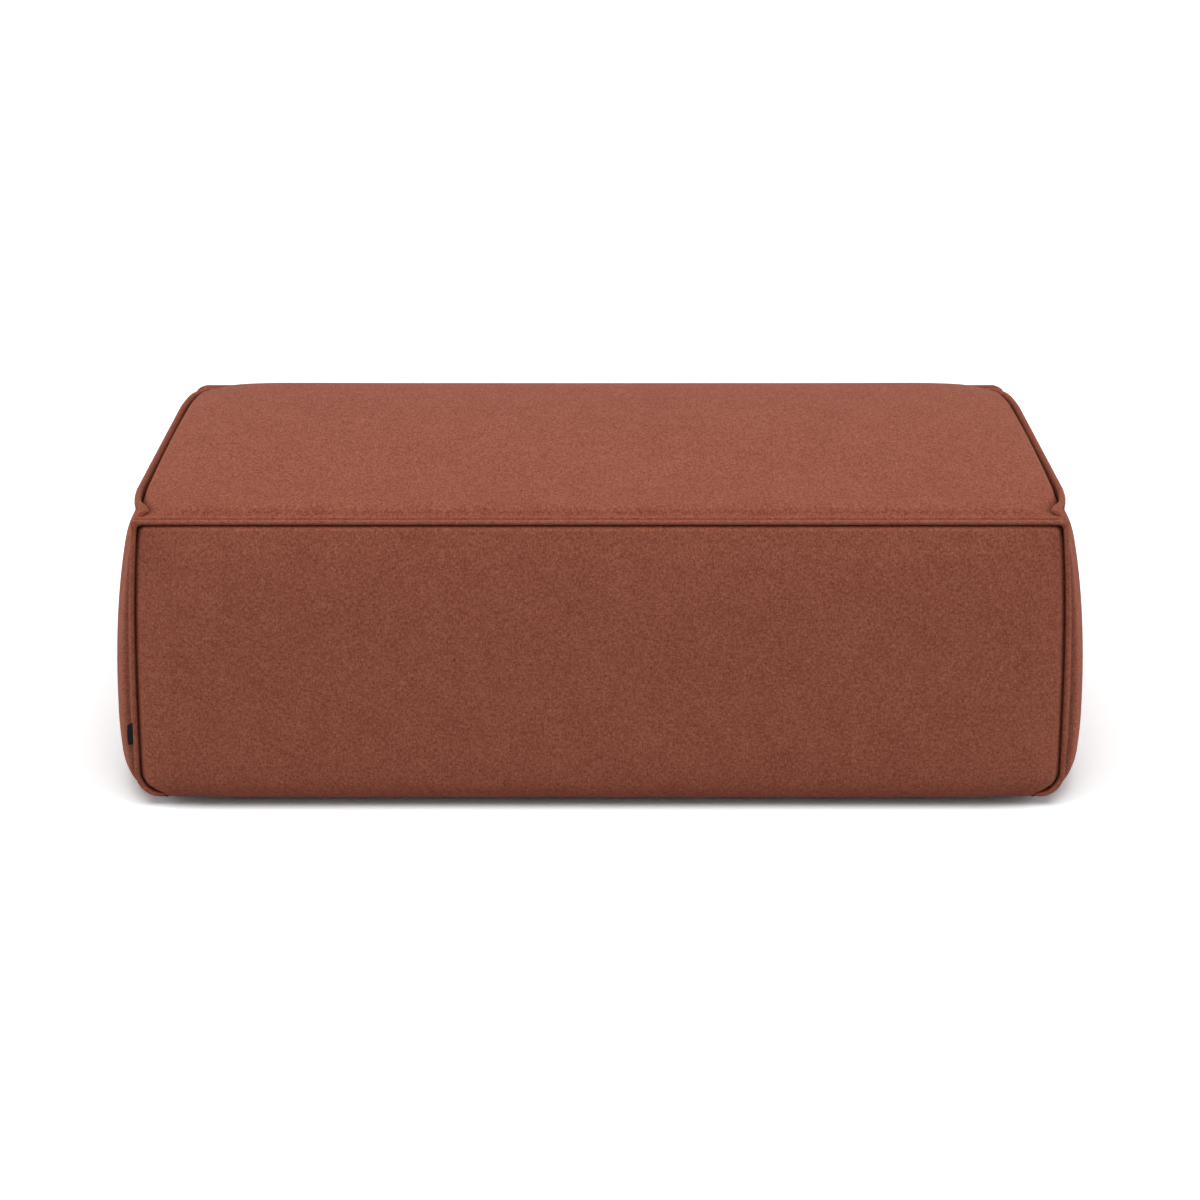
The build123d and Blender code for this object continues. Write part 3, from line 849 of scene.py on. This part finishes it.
def makeTag():
    heights = np.linspace(tag["low"], tag["low"] + tag["height"], 22)
    reaches = np.linspace(-tag["root"], tag["reach"], 15)
    turn = np.linspace(0, math.pi, 7)[1:-1]
    rings = []
    for z in heights:
        section = [(r, tag["layers"]) for r in reaches]
        half = tag["layers"] / 2
        section += [(tag["reach"] + half * math.sin(a), half + half * math.cos(a)) for a in turn]
        section += [(r, 0.0) for r in reaches[::-1]]
        reach, off = np.array(section).T
        y = reach - body["halfDepth"] + tag["behind"]
        level = z - tag["droop"] * reach / tag["reach"]
        along = np.clip(reach / tag["reach"], 0, 1)
        places = -1 + np.linspace(0, tag["reach"] + 2, 12) / body["halfDepth"]
        wall = sideSurface(places, np.full(12, clothTop - z))[:, 0].max()
        start = loopOuterX(z) + tag["lift"]
        share = (z - tag["low"]) / tag["height"]
        wave = tag["wave"] * math.sin(share * math.pi * 1.5) * along
        x = start + (wall + tag["lift"] - start) * along + off + wave
        rings.append(np.stack([-x, y, level], -1))
    rings = np.array(rings)
    u = np.broadcast_to(heights[:, None], rings.shape[:2])
    v = np.broadcast_to(np.arange(rings.shape[1]) * 0.9, rings.shape[:2])
    made = linkObject("blankTag", gridMesh("blankTag", rings, u, v, wrap=True))
    closeEnds(made)
    return declare(made, "side_tag")


# The dust cover under the frame: spunbond cloth with a turned-in hem, stapled to the rails and
# hanging a little between them
dustCover = {
    "halfX": 560.0,
    "halfY": 298.0,
    "level": 11.1,
    "hem": 14.0,
    "step": 11.0,
    "layer": 0.45,           # how far apart the folded layers lie
    "thickness": 0.35,
    "sag": 1.7,
    "bayX": (12.0, 543.0),   # it hangs free between the centre rail and the end rails
    "bayHalf": 266.0,
    "bayY": 281.0,
    "pucker": 0.35,          # and hangs off the rails a little between the staples
    "puckerReach": 30.0,
    "stapleGap": 62.0,
    "stapleInset": 6.0,
    "stapleCounts": (8, 4),  # on each side of the middle, along the length and the depth
    "bossX": 521.0,          # where the glides come through
    "bossY": 259.0,
    "bossHole": 16.0,
}


def hemLines(half, step):
    inner = np.linspace(-half, half, int(2 * half / step) + 1)
    fold = np.linspace(0, dustCover["hem"], 5)[1:]
    return np.concatenate([-half - fold[::-1], inner, half + fold])


def makeDustCover():
    flatX = hemLines(dustCover["halfX"], dustCover["step"])
    flatY = hemLines(dustCover["halfY"], dustCover["step"])
    fx, fy = np.meshgrid(flatX, flatY)
    overX = np.clip(np.abs(fx) - dustCover["halfX"], 0, None)
    overY = np.clip(np.abs(fy) - dustCover["halfY"], 0, None)
    x = np.sign(fx) * (np.minimum(np.abs(fx), dustCover["halfX"]) - overX)
    y = np.sign(fy) * (np.minimum(np.abs(fy), dustCover["halfY"]) - overY)
    folds = np.clip(overX / 2, 0, 1) + np.clip(overY / 2, 0, 1)
    z = dustCover["level"] + dustCover["layer"] * folds
    inner, outer = dustCover["bayX"]
    inX = np.clip(outer - np.abs(x), 0, None) * np.clip(np.abs(x) - inner, 0, None)
    inX = np.clip(inX / dustCover["bayHalf"] ** 2, 0, 1)
    inY = np.clip(dustCover["bayY"] - np.abs(y), 0, None) / dustCover["bayY"]
    z = z - dustCover["sag"] * inX * (1 - (1 - inY) ** 2)
    gap = 2 * math.pi / dustCover["stapleGap"]
    for edge, along in ((dustCover["halfX"] - np.abs(x), y), (dustCover["halfY"] - np.abs(y), x)):
        near = np.exp(-edge / dustCover["puckerReach"])
        z = z - dustCover["pucker"] * near * (1 - np.cos(along * gap)) / 2
    points = np.stack([x, y, z], -1)
    made = linkObject("dustCover", gridMesh("dustCover", points, fx, fy, True))
    shape = bmesh.new()
    shape.from_mesh(made.data)
    holes = []
    for face in shape.faces:
        centre = face.calc_center_median() / millimetre
        offset = (abs(centre.x) - dustCover["bossX"], abs(centre.y) - dustCover["bossY"])
        if math.hypot(*offset) < dustCover["bossHole"]:
            holes.append(face)
    bmesh.ops.delete(shape, geom=holes, context="FACES")
    shape.to_mesh(made.data)
    shape.free()
    thicken(made, dustCover["thickness"])
    return declare(made, "dust_cover")


# Wire staples as one piece: each is a flat crown with two legs up into the rail
staple = {"crown": 9.0, "leg": 2.4, "wide": 1.1, "thick": 0.6, "bend": 0.6, "bendCut": 0.2}


def makeStaples(name, places):
    half, leg = staple["crown"] / 2, staple["leg"]
    bend, cut = staple["bend"], staple["bendCut"]
    path = [(-half, leg), (-half, bend), (-half + cut, cut), (-half + bend, 0), (half - bend, 0),
            (half - cut, cut), (half, bend), (half, leg)]
    section = [(staple["wide"] / 2 * math.cos(a), staple["thick"] / 2 * math.sin(a))
               for a in np.linspace(0, 2 * math.pi, 9)[:-1]]
    points, faces = [], []
    for centre, alongX in places:
        first = len(points)
        for k, (run, rise) in enumerate(path):
            before, after = path[max(k - 1, 0)], path[min(k + 1, len(path) - 1)]
            length = math.hypot(after[0] - before[0], after[1] - before[1])
            tangent = ((after[0] - before[0]) / length, (after[1] - before[1]) / length)
            for wide, thick in section:
                along = run - tangent[1] * thick
                up = rise + tangent[0] * thick
                flat = (along, wide) if alongX else (wide, along)
                points.append((centre[0] + flat[0], centre[1] + flat[1], centre[2] + up))
        count = len(section)
        for k in range(len(path) - 1):
            for j in range(count):
                a, b = first + k * count + j, first + k * count + (j + 1) % count
                faces.append((a, b, b + count, a + count))
        faces.append(tuple(first + j for j in range(count)))
        faces.append(tuple(first + (len(path) - 1) * count + j for j in range(count)))
    mesh = bpy.data.meshes.new(name)
    mesh.from_pydata((np.array(points) * millimetre).tolist(), [], faces)
    made = linkObject(name, mesh)
    closeEnds(made)
    mesh.shade_smooth()
    return declare(made, None)


def dustCoverStaplePlaces():
    x = dustCover["halfX"] - dustCover["stapleInset"]
    y = dustCover["halfY"] - dustCover["stapleInset"]
    level = dustCover["level"] - dustCover["thickness"] - 0.2
    gap = dustCover["stapleGap"]
    countX, countY = dustCover["stapleCounts"]
    places = []
    for k in range(-countX, countX + 1):
        places += [((k * gap, side * y, level), True) for side in (-1, 1)]
    for k in range(-countY, countY + 1):
        places += [((side * x, k * gap, level), False) for side in (-1, 1)]
    return places


# The foams and the wadding inside the cover
padding = {
    "voxel": 6,              # the slabs are remeshed coarser than the padding on the walls
    "slabVoxel": 9,
    "shrink": 2,
    "topHalf": (600.0, 345.0),
    "topClear": 12.0,        # how far the foams stay inside the cover: below the top
    "wallClear": 6.0,        # behind the walls
    "cornerClear": 10.0,     # and beside the crevices
    "sideEnd": 334.0,
    "lowest": 60.0,          # the levels between which the walls limit them
    "frontHighest": 391.0,
    "sideHighest": 398.0,
    "waddingShare": (0.968, 0.958),  # of the top panel's width and depth
    "waddingBelow": 3.2,
    "waddingThickness": 8.0,
}


def belowTop(points):
    shares = np.clip(points[:, :2] / padding["topHalf"], -1, 1)
    top = topSurface(shares[:, 0], shares[:, 1])
    points[:, 2] = np.minimum(points[:, 2], top[:, 2] - padding["topClear"])
    return points


def behindFront(sign):
    def limit(points):
        z = np.clip(points[:, 2], padding["lowest"], padding["frontHighest"])
        half = creviceX(z)
        wall = frontSurface(np.clip(points[:, 0] / half, -1, 1), frontPanel["top"] - z)
        reach = np.abs(wall[:, 1]) - padding["wallClear"]
        points[:, 1] = np.where(points[:, 1] * sign > reach, sign * reach, points[:, 1])
        half = half - padding["cornerClear"]
        points[:, 0] = np.clip(points[:, 0], -half, half)
        return points
    return limit


def insideSide(points):
    z = np.clip(points[:, 2], padding["lowest"], padding["sideHighest"])
    wall = sideSurface(np.clip(points[:, 1] / clothEnd, -1, 1), clothTop - z)
    reach = wall[:, 0] - padding["wallClear"]
    points[:, 0] = np.clip(points[:, 0], -reach, reach)
    points[:, 1] = np.clip(points[:, 1], -padding["sideEnd"], padding["sideEnd"])
    return points


# The wadding follows the top panel from below
def makeWadding():
    s, t = np.meshgrid(gridLines(1, 0.01, 0.02, 0.2), gridLines(1, 0.016, 0.03, 0.2))
    points = topSurface(s * padding["waddingShare"][0], t * padding["waddingShare"][1])
    points[..., 2] -= padding["waddingBelow"]
    u, v = clothLengths(points)
    made = linkObject("seatWadding", gridMesh("seatWadding", points, u, v, True))
    thicken(made, padding["waddingThickness"])
    return declare(made, "seat_wadding")


print("stage: tag and dust cover")
blankTag = makeTag()
lining = makeDustCover()
liningStaples = makeStaples("dustCoverStaples", dustCoverStaplePlaces())

print("stage: padding inside")
wadding = makeWadding()
foams = [
    makeFoamCopy("softSeatFoam", "soft_seat_foam", padding["slabVoxel"], padding["shrink"],
                 belowTop),
    makeFoamCopy("firmSeatFoam", "firm_seat_foam", padding["slabVoxel"], padding["shrink"] / 2),
]
for side, limit in (("front", behindFront(-1)), ("back", behindFront(1)),
                    ("right", insideSide), ("left", insideSide)):
    foams.append(makeFoamCopy(side + "Padding", side + "_padding", padding["voxel"],
                              padding["shrink"], limit))


def linearColour(hexValue):
    parts = [int(hexValue[k:k + 2], 16) / 255 for k in (1, 3, 5)]
    return [p / 12.92 if p <= 0.04045 else ((p + 0.055) / 1.055) ** 2.4 for p in parts] + [1]


# Adds one node with its settings, its links and, for a ramp, its colours by their places
def addNode(tree, kind, settings=None, links=None, stops=()):
    node = tree.nodes.new(kind)
    for key, value in (settings or {}).items():
        if isinstance(key, int) or key in node.inputs:
            node.inputs[key].default_value = value
        else:
            setattr(node, key, value)
    for key, source in (links or {}).items():
        tree.links.new(source, node.inputs[key])
    if stops:
        elements = node.color_ramp.elements
        while len(elements) < len(stops):
            elements.new(0.5)
        for element, (place, hexValue) in zip(elements, stops):
            element.position = place
            element.color = linearColour(hexValue)
    return node


def newMaterial(name, finish):
    material = bpy.data.materials.new(name)
    material.use_nodes = True
    shader = material.node_tree.nodes["Principled BSDF"]
    for key, value in finish.items():
        shader.inputs[key].default_value = value
    return material, material.node_tree, shader


# Adds up noises of several sizes: each row is (size along u, size along v, weight, detail), with
# the sizes in millimetres, and the sum stays around 0.5
def noiseSum(tree, source, rows):
    total = None
    for index, (alongU, alongV, weight, detail) in enumerate(rows):
        place = addNode(tree, "ShaderNodeMapping", {
            "Scale": (1000 / alongU, 1000 / alongV, 1000 / alongU),
            "Location": (3.1 * index, 1.7 * index, 0.9 * index)}, {"Vector": source})
        noise = addNode(tree, "ShaderNodeTexNoise", {"Scale": 1.0, "Detail": detail,
                        "Roughness": 0.6}, {"Vector": place.outputs["Vector"]})
        step = addNode(tree, "ShaderNodeMath", {"operation": "MULTIPLY_ADD", 1: weight},
                       {0: noise.outputs["Fac"]})
        if total is None:
            step.inputs[2].default_value = 0.5 - sum(row[2] for row in rows) / 2
        else:
            tree.links.new(total, step.inputs[2])
        total = step.outputs[0]
    return total


# Gives a shader its colour and its relief: how deep it is, in millimetres, and how strong
def dressShader(tree, shader, colour, height=None, relief=None):
    tree.links.new(colour, shader.inputs["Base Color"])
    if height is not None:
        bump = addNode(tree, "ShaderNodeBump", {"Distance": relief[0] * millimetre,
                       "Strength": relief[1]}, {"Height": height})
        tree.links.new(bump.outputs["Normal"], shader.inputs["Normal"])


woolMelange = {
    "dark": "#632D21",
    "brick": "#8B4936",
    "clay": "#A5604B",
    "pale": "#B87F6B",
    "ash": "#8D6255",
    # the colour of the painted shade in the seams' grooves and crevices
    "groove": "#2A120C",
    "sheen": "#C08A74",
    "threadPitch": 1.7,      # drawn a little coarser than the real thread, so that it shows
    "threadRelief": 0.35,
    "relief": (0.5, 0.45),
    "flecks": ((2.2, 5.0, 0.50, 1), (5.0, 2.2, 0.42, 1), (3.2, 3.6, 0.36, 1),
               (9.0, 11.0, 0.22, 2), (40.0, 50.0, 0.12, 2)),
    "ashFlecks": ((2.6, 5.0, 1.6, 1), (4.4, 2.8, 1.4, 1)),
    "seamShade": 0.85,       # how dark the painted shade makes the pile in the stitched grooves
}


# Wool-blend melange, plain woven of two-tone yarn: matt, fine grained, with short flecks of
# lighter, darker and ashy fibre along both thread directions; painted shade in its seams' grooves
def makeWoolMelange():
    material, tree, shader = newMaterial("woolMelangeWeave", {
        "Roughness": 0.92, "Specular IOR Level": 0.2, "Sheen Weight": 0.08,
        "Sheen Roughness": 0.5, "Sheen Tint": linearColour(woolMelange["sheen"])})
    cloth = addNode(tree, "ShaderNodeUVMap", {"uv_map": "clothMap"}).outputs["UV"]
    flecks = noiseSum(tree, cloth, woolMelange["flecks"])
    yarn = addNode(tree, "ShaderNodeValToRGB", {}, {"Fac": flecks}, (
        (0.12, woolMelange["dark"]), (0.42, woolMelange["brick"]),
        (0.62, woolMelange["clay"]), (0.95, woolMelange["pale"])))
    ash = addNode(tree, "ShaderNodeMapRange", {"From Min": 0.55, "From Max": 1.1, "To Max": 0.6},
                  {"Value": noiseSum(tree, cloth, woolMelange["ashFlecks"])})
    # painted shade: the colour is mixed towards the groove colour where the seams' painted shade
    # lies
    paintedShade = addNode(tree, "ShaderNodeAttribute", {"attribute_name": "paintedShade"})
    shade = addNode(tree, "ShaderNodeMath", {"operation": "MULTIPLY", 1: woolMelange["seamShade"]},
                    {0: paintedShade.outputs["Fac"]})
    colour = yarn.outputs["Color"]
    for share, tone in ((ash, "ash"), (shade, "groove")):
        mixed = addNode(tree, "ShaderNodeMix", {
            "data_type": "RGBA", 7: linearColour(woolMelange[tone])},
            {0: share.outputs[0], 6: colour})
        colour = mixed.outputs[2]
    turns = addNode(tree, "ShaderNodeVectorMath", {"operation": "SCALE",
                    "Scale": math.pi * 1000 / woolMelange["threadPitch"]}, {0: cloth})
    axes = addNode(tree, "ShaderNodeSeparateXYZ", {}, {0: turns.outputs[0]})
    waves = {}
    for k in (0, 1):
        wave = addNode(tree, "ShaderNodeMath", {"operation": "SINE"}, {0: axes.outputs[k]})
        waves[k] = wave.outputs[0]
    threads = addNode(tree, "ShaderNodeMath", {"operation": "MULTIPLY"}, waves)
    height = addNode(tree, "ShaderNodeMath", {
        "operation": "MULTIPLY_ADD", 1: woolMelange["threadRelief"]},
        {0: threads.outputs[0], 2: flecks})
    dressShader(tree, shader, colour, height.outputs[0], woolMelange["relief"])
    return material


timber = {
    "early": "#D8B98C",
    "late": "#B78D5C",
    "ring": 7.0,
    "fleck": 1.6,
    "grain": 220.0,
    "relief": (0.15, 0.3),
}


# Planed softwood, straight grained along the piece: pale, with brown late-wood lines
def makeTimber(name, axis):
    material, tree, shader = newMaterial(name, {"Roughness": 0.62, "Specular IOR Level": 0.35})
    place = addNode(tree, "ShaderNodeTexCoord").outputs["Object"]
    total = None
    for size, weight in ((timber["ring"], 1.6), (timber["fleck"], 0.8)):
        scale = [1000 / size] * 3
        scale[axis] = 1000 / timber["grain"]
        mapped = addNode(tree, "ShaderNodeMapping", {"Scale": scale}, {"Vector": place})
        noise = addNode(tree, "ShaderNodeTexNoise", {"Scale": 1.0, "Detail": 3.0},
                        {"Vector": mapped.outputs["Vector"]})
        step = addNode(tree, "ShaderNodeMath", {"operation": "MULTIPLY_ADD", 1: weight, 2: -0.7},
                       {0: noise.outputs["Fac"]})
        if total is not None:
            tree.links.new(total, step.inputs[2])
        total = step.outputs[0]
    colour = addNode(tree, "ShaderNodeValToRGB", {}, {"Fac": total},
                     ((0.0, timber["early"]), (0.8, timber["late"])))
    dressShader(tree, shader, colour.outputs["Color"], total, timber["relief"])
    return material


webbing = {
    "ecru": "#CFC4A8",
    "stripe": "#8A3B2A",
    "stops": ((0.0, "ecru"), (0.17, "stripe"), (0.24, "ecru"), (0.76, "stripe"), (0.83, "ecru")),
    "ribPitch": 2.4,
    "fibreShade": 0.35,
    "relief": (0.25, 0.5),
}


# Elastic webbing, narrow woven of polypropylene and rubber: ecru with two brick-red marking
# stripes, and ribs across it
def makeWebbing(name, across):
    material, tree, shader = newMaterial(name, {"Roughness": 0.75, "Specular IOR Level": 0.3})
    source = addNode(tree, "ShaderNodeTexCoord")
    axes = addNode(tree, "ShaderNodeSeparateXYZ", {}, {0: source.outputs["Generated"]})
    stripes = addNode(tree, "ShaderNodeValToRGB", {}, {"Fac": axes.outputs[across]},
                      [(place, webbing[key]) for place, key in webbing["stops"]])
    stripes.color_ramp.interpolation = "CONSTANT"
    metres = addNode(tree, "ShaderNodeSeparateXYZ", {}, {0: source.outputs["Object"]})
    turns = addNode(tree, "ShaderNodeMath", {"operation": "MULTIPLY",
                    1: 2 * math.pi * 1000 / webbing["ribPitch"]}, {0: metres.outputs[1 - across]})
    ribs = addNode(tree, "ShaderNodeMath", {"operation": "SINE"}, {0: turns.outputs[0]})
    fibres = noiseSum(tree, source.outputs["Object"], ((0.9, 0.9, 1.0, 2),))
    shade = addNode(tree, "ShaderNodeMix", {
        "data_type": "RGBA", "blend_type": "MULTIPLY", 0: webbing["fibreShade"]},
        {6: stripes.outputs["Color"], 7: fibres})
    dressShader(tree, shader, shade.outputs[2], ribs.outputs[0], webbing["relief"])
    return material


# Pressed hardboard: brown wood fibres without direction, slightly burnished by the press
hardboard = {
    "finish": {"Roughness": 0.55},
    "grain": ((1.2, 1.2, 1.4, 3), (14, 14, 0.6, 2)),
    "colours": ("#6A4629", "#8F673F"),
    "relief": (0.2, 0.3),
}

# Zinc-plated steel wire: bright grey with a faint cloudiness from the bath, and smooth
zincPlatedSteel = {
    "finish": {"Metallic": 1.0, "Roughness": 0.34},
    "grain": ((1.5, 1.5, 1.0, 2), (6, 6, 0.6, 2)),
    "colours": ("#A9ADB2", "#C9CCCF"),
}

# Injection-moulded polypropylene: black, half matt, with a fine spark-eroded grain
mouldedPolypropylene = {
    "finish": {"Roughness": 0.46, "IOR": 1.49},
    "grain": ((0.7, 0.7, 1.2, 2), (20, 20, 0.4, 1)),
    "colours": ("#101113", "#1C1D20"),
    "relief": (0.06, 0.5),
}

# Open-cell polyurethane foam: cream, fully matt, with cells that show as fine pits
polyurethaneFoam = {
    "finish": {"Roughness": 0.95, "Specular IOR Level": 0.1},
    "grain": ((1.1, 1.1, 1.4, 2), (40, 40, 0.4, 2)),
    "colours": ("#DCCFA6", "#EFE6C8"),
    "relief": (0.6, 0.5),
}

# Bonded polyester fibre wadding: white and cloudy, with tangled fibres
polyesterWadding = {
    "finish": {"Roughness": 0.9, "Specular IOR Level": 0.15, "Sheen Weight": 0.3},
    "grain": ((2.0, 2.0, 1.0, 5), (25, 25, 0.9, 3)),
    "colours": ("#E2DFD8", "#F6F5F1"),
    "relief": (1.5, 0.6),
}


# A material whose colour and relief follow one grain without direction
def makeGrained(name, look):
    material, tree, shader = newMaterial(name, look["finish"])
    place = addNode(tree, "ShaderNodeTexCoord").outputs["Object"]
    grain = noiseSum(tree, place, look["grain"])
    colour = addNode(tree, "ShaderNodeValToRGB", {}, {"Fac": grain},
                     list(zip((0.2, 0.8), look["colours"])))
    height = grain if "relief" in look else None
    dressShader(tree, shader, colour.outputs["Color"], height, look.get("relief"))
    return material


spunbond = {
    "fibres": ((0.7, 5.0, 1.2, 2), (5.0, 0.7, 1.2, 2), (35, 35, 0.5, 2)),
    "dotPitch": 3.2,
    "dark": "#17171A",
    "light": "#34343A",
    "relief": (0.25, 0.5),
}


# Spunbond polypropylene cloth: black, dull, with loose fibres and a grid of bonding points
def makeSpunbond():
    material, tree, shader = newMaterial("spunbondCloth", {"Roughness": 0.85,
                                         "Specular IOR Level": 0.3})
    cloth = addNode(tree, "ShaderNodeUVMap", {"uv_map": "clothMap"}).outputs["UV"]
    fibres = noiseSum(tree, cloth, spunbond["fibres"])
    dots = addNode(tree, "ShaderNodeTexVoronoi", {"Scale": 1000 / spunbond["dotPitch"],
                   "Randomness": 0.15}, {"Vector": cloth})
    bonded = addNode(tree, "ShaderNodeMapRange", {"From Min": 0.2, "From Max": 0.34},
                     {"Value": dots.outputs["Distance"]})
    colour = addNode(tree, "ShaderNodeValToRGB", {}, {"Fac": fibres},
                     ((0.1, spunbond["dark"]), (0.9, spunbond["light"])))
    height = addNode(tree, "ShaderNodeMath", {"operation": "MULTIPLY_ADD", 1: 0.5},
                     {0: bonded.outputs[0], 2: fibres})
    dressShader(tree, shader, colour.outputs["Color"], height.outputs[0], spunbond["relief"])
    return material


ribbon = {"ribPitch": 1.1, "dark": "#060608", "light": "#101013", "relief": (0.12, 0.5)}


# Woven polyester ribbon: black, with fine ribs across and a low satin gloss
def makeRibbon():
    material, tree, shader = newMaterial("wovenRibbon", {"Roughness": 0.8,
                                         "Specular IOR Level": 0.06})
    cloth = addNode(tree, "ShaderNodeUVMap", {"uv_map": "clothMap"}).outputs["UV"]
    axes = addNode(tree, "ShaderNodeSeparateXYZ", {}, {0: cloth})
    turns = addNode(tree, "ShaderNodeMath", {"operation": "MULTIPLY",
                    1: 2 * math.pi * 1000 / ribbon["ribPitch"]}, {0: axes.outputs[0]})
    ribs = addNode(tree, "ShaderNodeMath", {"operation": "SINE"}, {0: turns.outputs[0]})
    yarn = noiseSum(tree, cloth, ((1.0, 3.0, 1.2, 1),))
    colour = addNode(tree, "ShaderNodeValToRGB", {}, {"Fac": yarn},
                     ((0.2, ribbon["dark"]), (0.9, ribbon["light"])))
    dressShader(tree, shader, colour.outputs["Color"], ribs.outputs[0], ribbon["relief"])
    return material


def finishPiece(made, material):
    if made.material_slots:
        made.material_slots[0].material = material
    else:
        made.data.materials.append(material)


print("stage: materials")
wool = makeWoolMelange()
timbers = [makeTimber("softwoodAlong" + letter, axis) for axis, letter in enumerate("XYZ")]
zinc = makeGrained("zincPlatedSteel", zincPlatedSteel)
nodeFinishes = {
    "post": timbers[2], "front_bottom_rail": timbers[0], "back_bottom_rail": timbers[0],
    "front_top_rail": timbers[0], "back_top_rail": timbers[0], "left_bottom_rail": timbers[1],
    "right_bottom_rail": timbers[1], "left_top_rail": timbers[1], "right_top_rail": timbers[1],
    "centre_bottom_rail": timbers[1], "centre_top_brace": timbers[1],
    "board": makeGrained("hardboard", hardboard),
    "short_webbing": makeWebbing("elasticWebbingShort", 0),
    "long_webbing": makeWebbing("elasticWebbingLong", 1),
    "glide": makeGrained("mouldedPolypropylene", mouldedPolypropylene),
    "staples": zinc, "glide_nails": zinc,
}
for name, carried in nodes.items():
    matches = [key for key in nodeFinishes if key in name]
    if matches:
        finishPiece(carried, nodeFinishes[max(matches, key=len)])
foam = makeGrained("polyurethaneFoam", polyurethaneFoam)
for made in panels + lips:
    finishPiece(made, wool)
for made in foams:
    finishPiece(made, foam)
finishPiece(wadding, makeGrained("polyesterWadding", polyesterWadding))
finishPiece(blankTag, makeRibbon())
finishPiece(lining, makeSpunbond())
finishPiece(liningStaples, zinc)

print("stage: floor, lights and camera")

studio = {
    "world": 0.20,           # all light is given as the share of plain white that it lights
    "overhead": 0.53,
    "overheadTilt": 22.0,
    "sides": 0.50,
    "sideElevation": 12.0,
    "sideAzimuth": 80.0,     # from the viewer's direction
    "softness": 50.0,
    "floorSeen": (1.36, 1.42, 1.43, 1),
    "floorBounce": (0.40, 0.40, 0.40, 1),
    "floorHalf": 30.0,       # in metres
}


# 1 for the rays that show the white background itself: seen, mirrored or through something clear
def seenRays(tree):
    path = addNode(tree, "ShaderNodeLightPath")
    shown = path.outputs["Is Camera Ray"]
    for ray in ("Is Glossy Ray", "Is Transmission Ray"):
        either = addNode(tree, "ShaderNodeMath", {"operation": "MAXIMUM"},
                         {0: shown, 1: path.outputs[ray]})
        shown = either.outputs[0]
    return shown


def makeFloor():
    size = studio["floorHalf"]
    mesh = bpy.data.meshes.new("studioFloor")
    mesh.from_pydata([(-size, -size, 0), (size, -size, 0), (size, size, 0), (-size, size, 0)], [],
                     [(0, 1, 2, 3)])
    made = linkObject("studioFloor", mesh)
    material = bpy.data.materials.new("paperSweep")
    material.use_nodes = True
    tree = material.node_tree
    tree.nodes.clear()
    seen = addNode(tree, "ShaderNodeBsdfDiffuse", {"Color": studio["floorSeen"]})
    bounced = addNode(tree, "ShaderNodeBsdfDiffuse", {"Color": studio["floorBounce"]})
    mix = addNode(tree, "ShaderNodeMixShader", {}, {0: seenRays(tree),
                  1: bounced.outputs[0], 2: seen.outputs[0]})
    addNode(tree, "ShaderNodeOutputMaterial", {}, {"Surface": mix.outputs[0]})
    mesh.materials.append(material)


def makeWorld():
    world = bpy.data.worlds.new("studioWorld")
    world.use_nodes = True
    tree = world.node_tree
    tree.nodes.clear()
    white = addNode(tree, "ShaderNodeBackground", {"Color": (1, 1, 1, 1), "Strength": 1.0})
    soft = addNode(tree, "ShaderNodeBackground", {"Color": (1, 1, 1, 1),
                   "Strength": studio["world"]})
    mix = addNode(tree, "ShaderNodeMixShader", {}, {0: seenRays(tree),
                  1: soft.outputs[0], 2: white.outputs[0]})
    addNode(tree, "ShaderNodeOutputWorld", {}, {"Surface": mix.outputs[0]})
    bpy.context.scene.world = world


def makeLamp(name, share, turns):
    sun = bpy.data.lights.new(name, "SUN")
    sun.energy = share * math.pi
    sun.angle = math.radians(studio["softness"])
    made = bpy.data.objects.new(name, sun)
    made.rotation_euler = [math.radians(turn) for turn in turns]
    bpy.context.scene.collection.objects.link(made)


def makeLamps():
    makeLamp("overheadSoftbox", studio["overhead"], (studio["overheadTilt"], 0, 0))
    for name, side in (("leftSoftbox", -1), ("rightSoftbox", 1)):
        makeLamp(name, studio["sides"],
                 (90 - studio["sideElevation"], 0, side * studio["sideAzimuth"]))


# As the photograph was taken: from the front and a little above, with a long lens
camera = {"focal": 90.0, "sensor": 36.0, "place": (0.0, -4.079, 1.512), "pitch": 18.16}


def makeCamera():
    data = bpy.data.cameras.new("productCamera")
    data.lens = camera["focal"]
    data.sensor_width = camera["sensor"]
    data.clip_end = 100
    made = bpy.data.objects.new("productCamera", data)
    made.location = camera["place"]
    made.rotation_euler = (math.radians(90 - camera["pitch"]), 0, 0)
    bpy.context.scene.collection.objects.link(made)
    bpy.context.scene.camera = made


makeFloor()
makeWorld()
makeLamps()
makeCamera()
bpy.context.scene.view_settings.view_transform = "Standard"
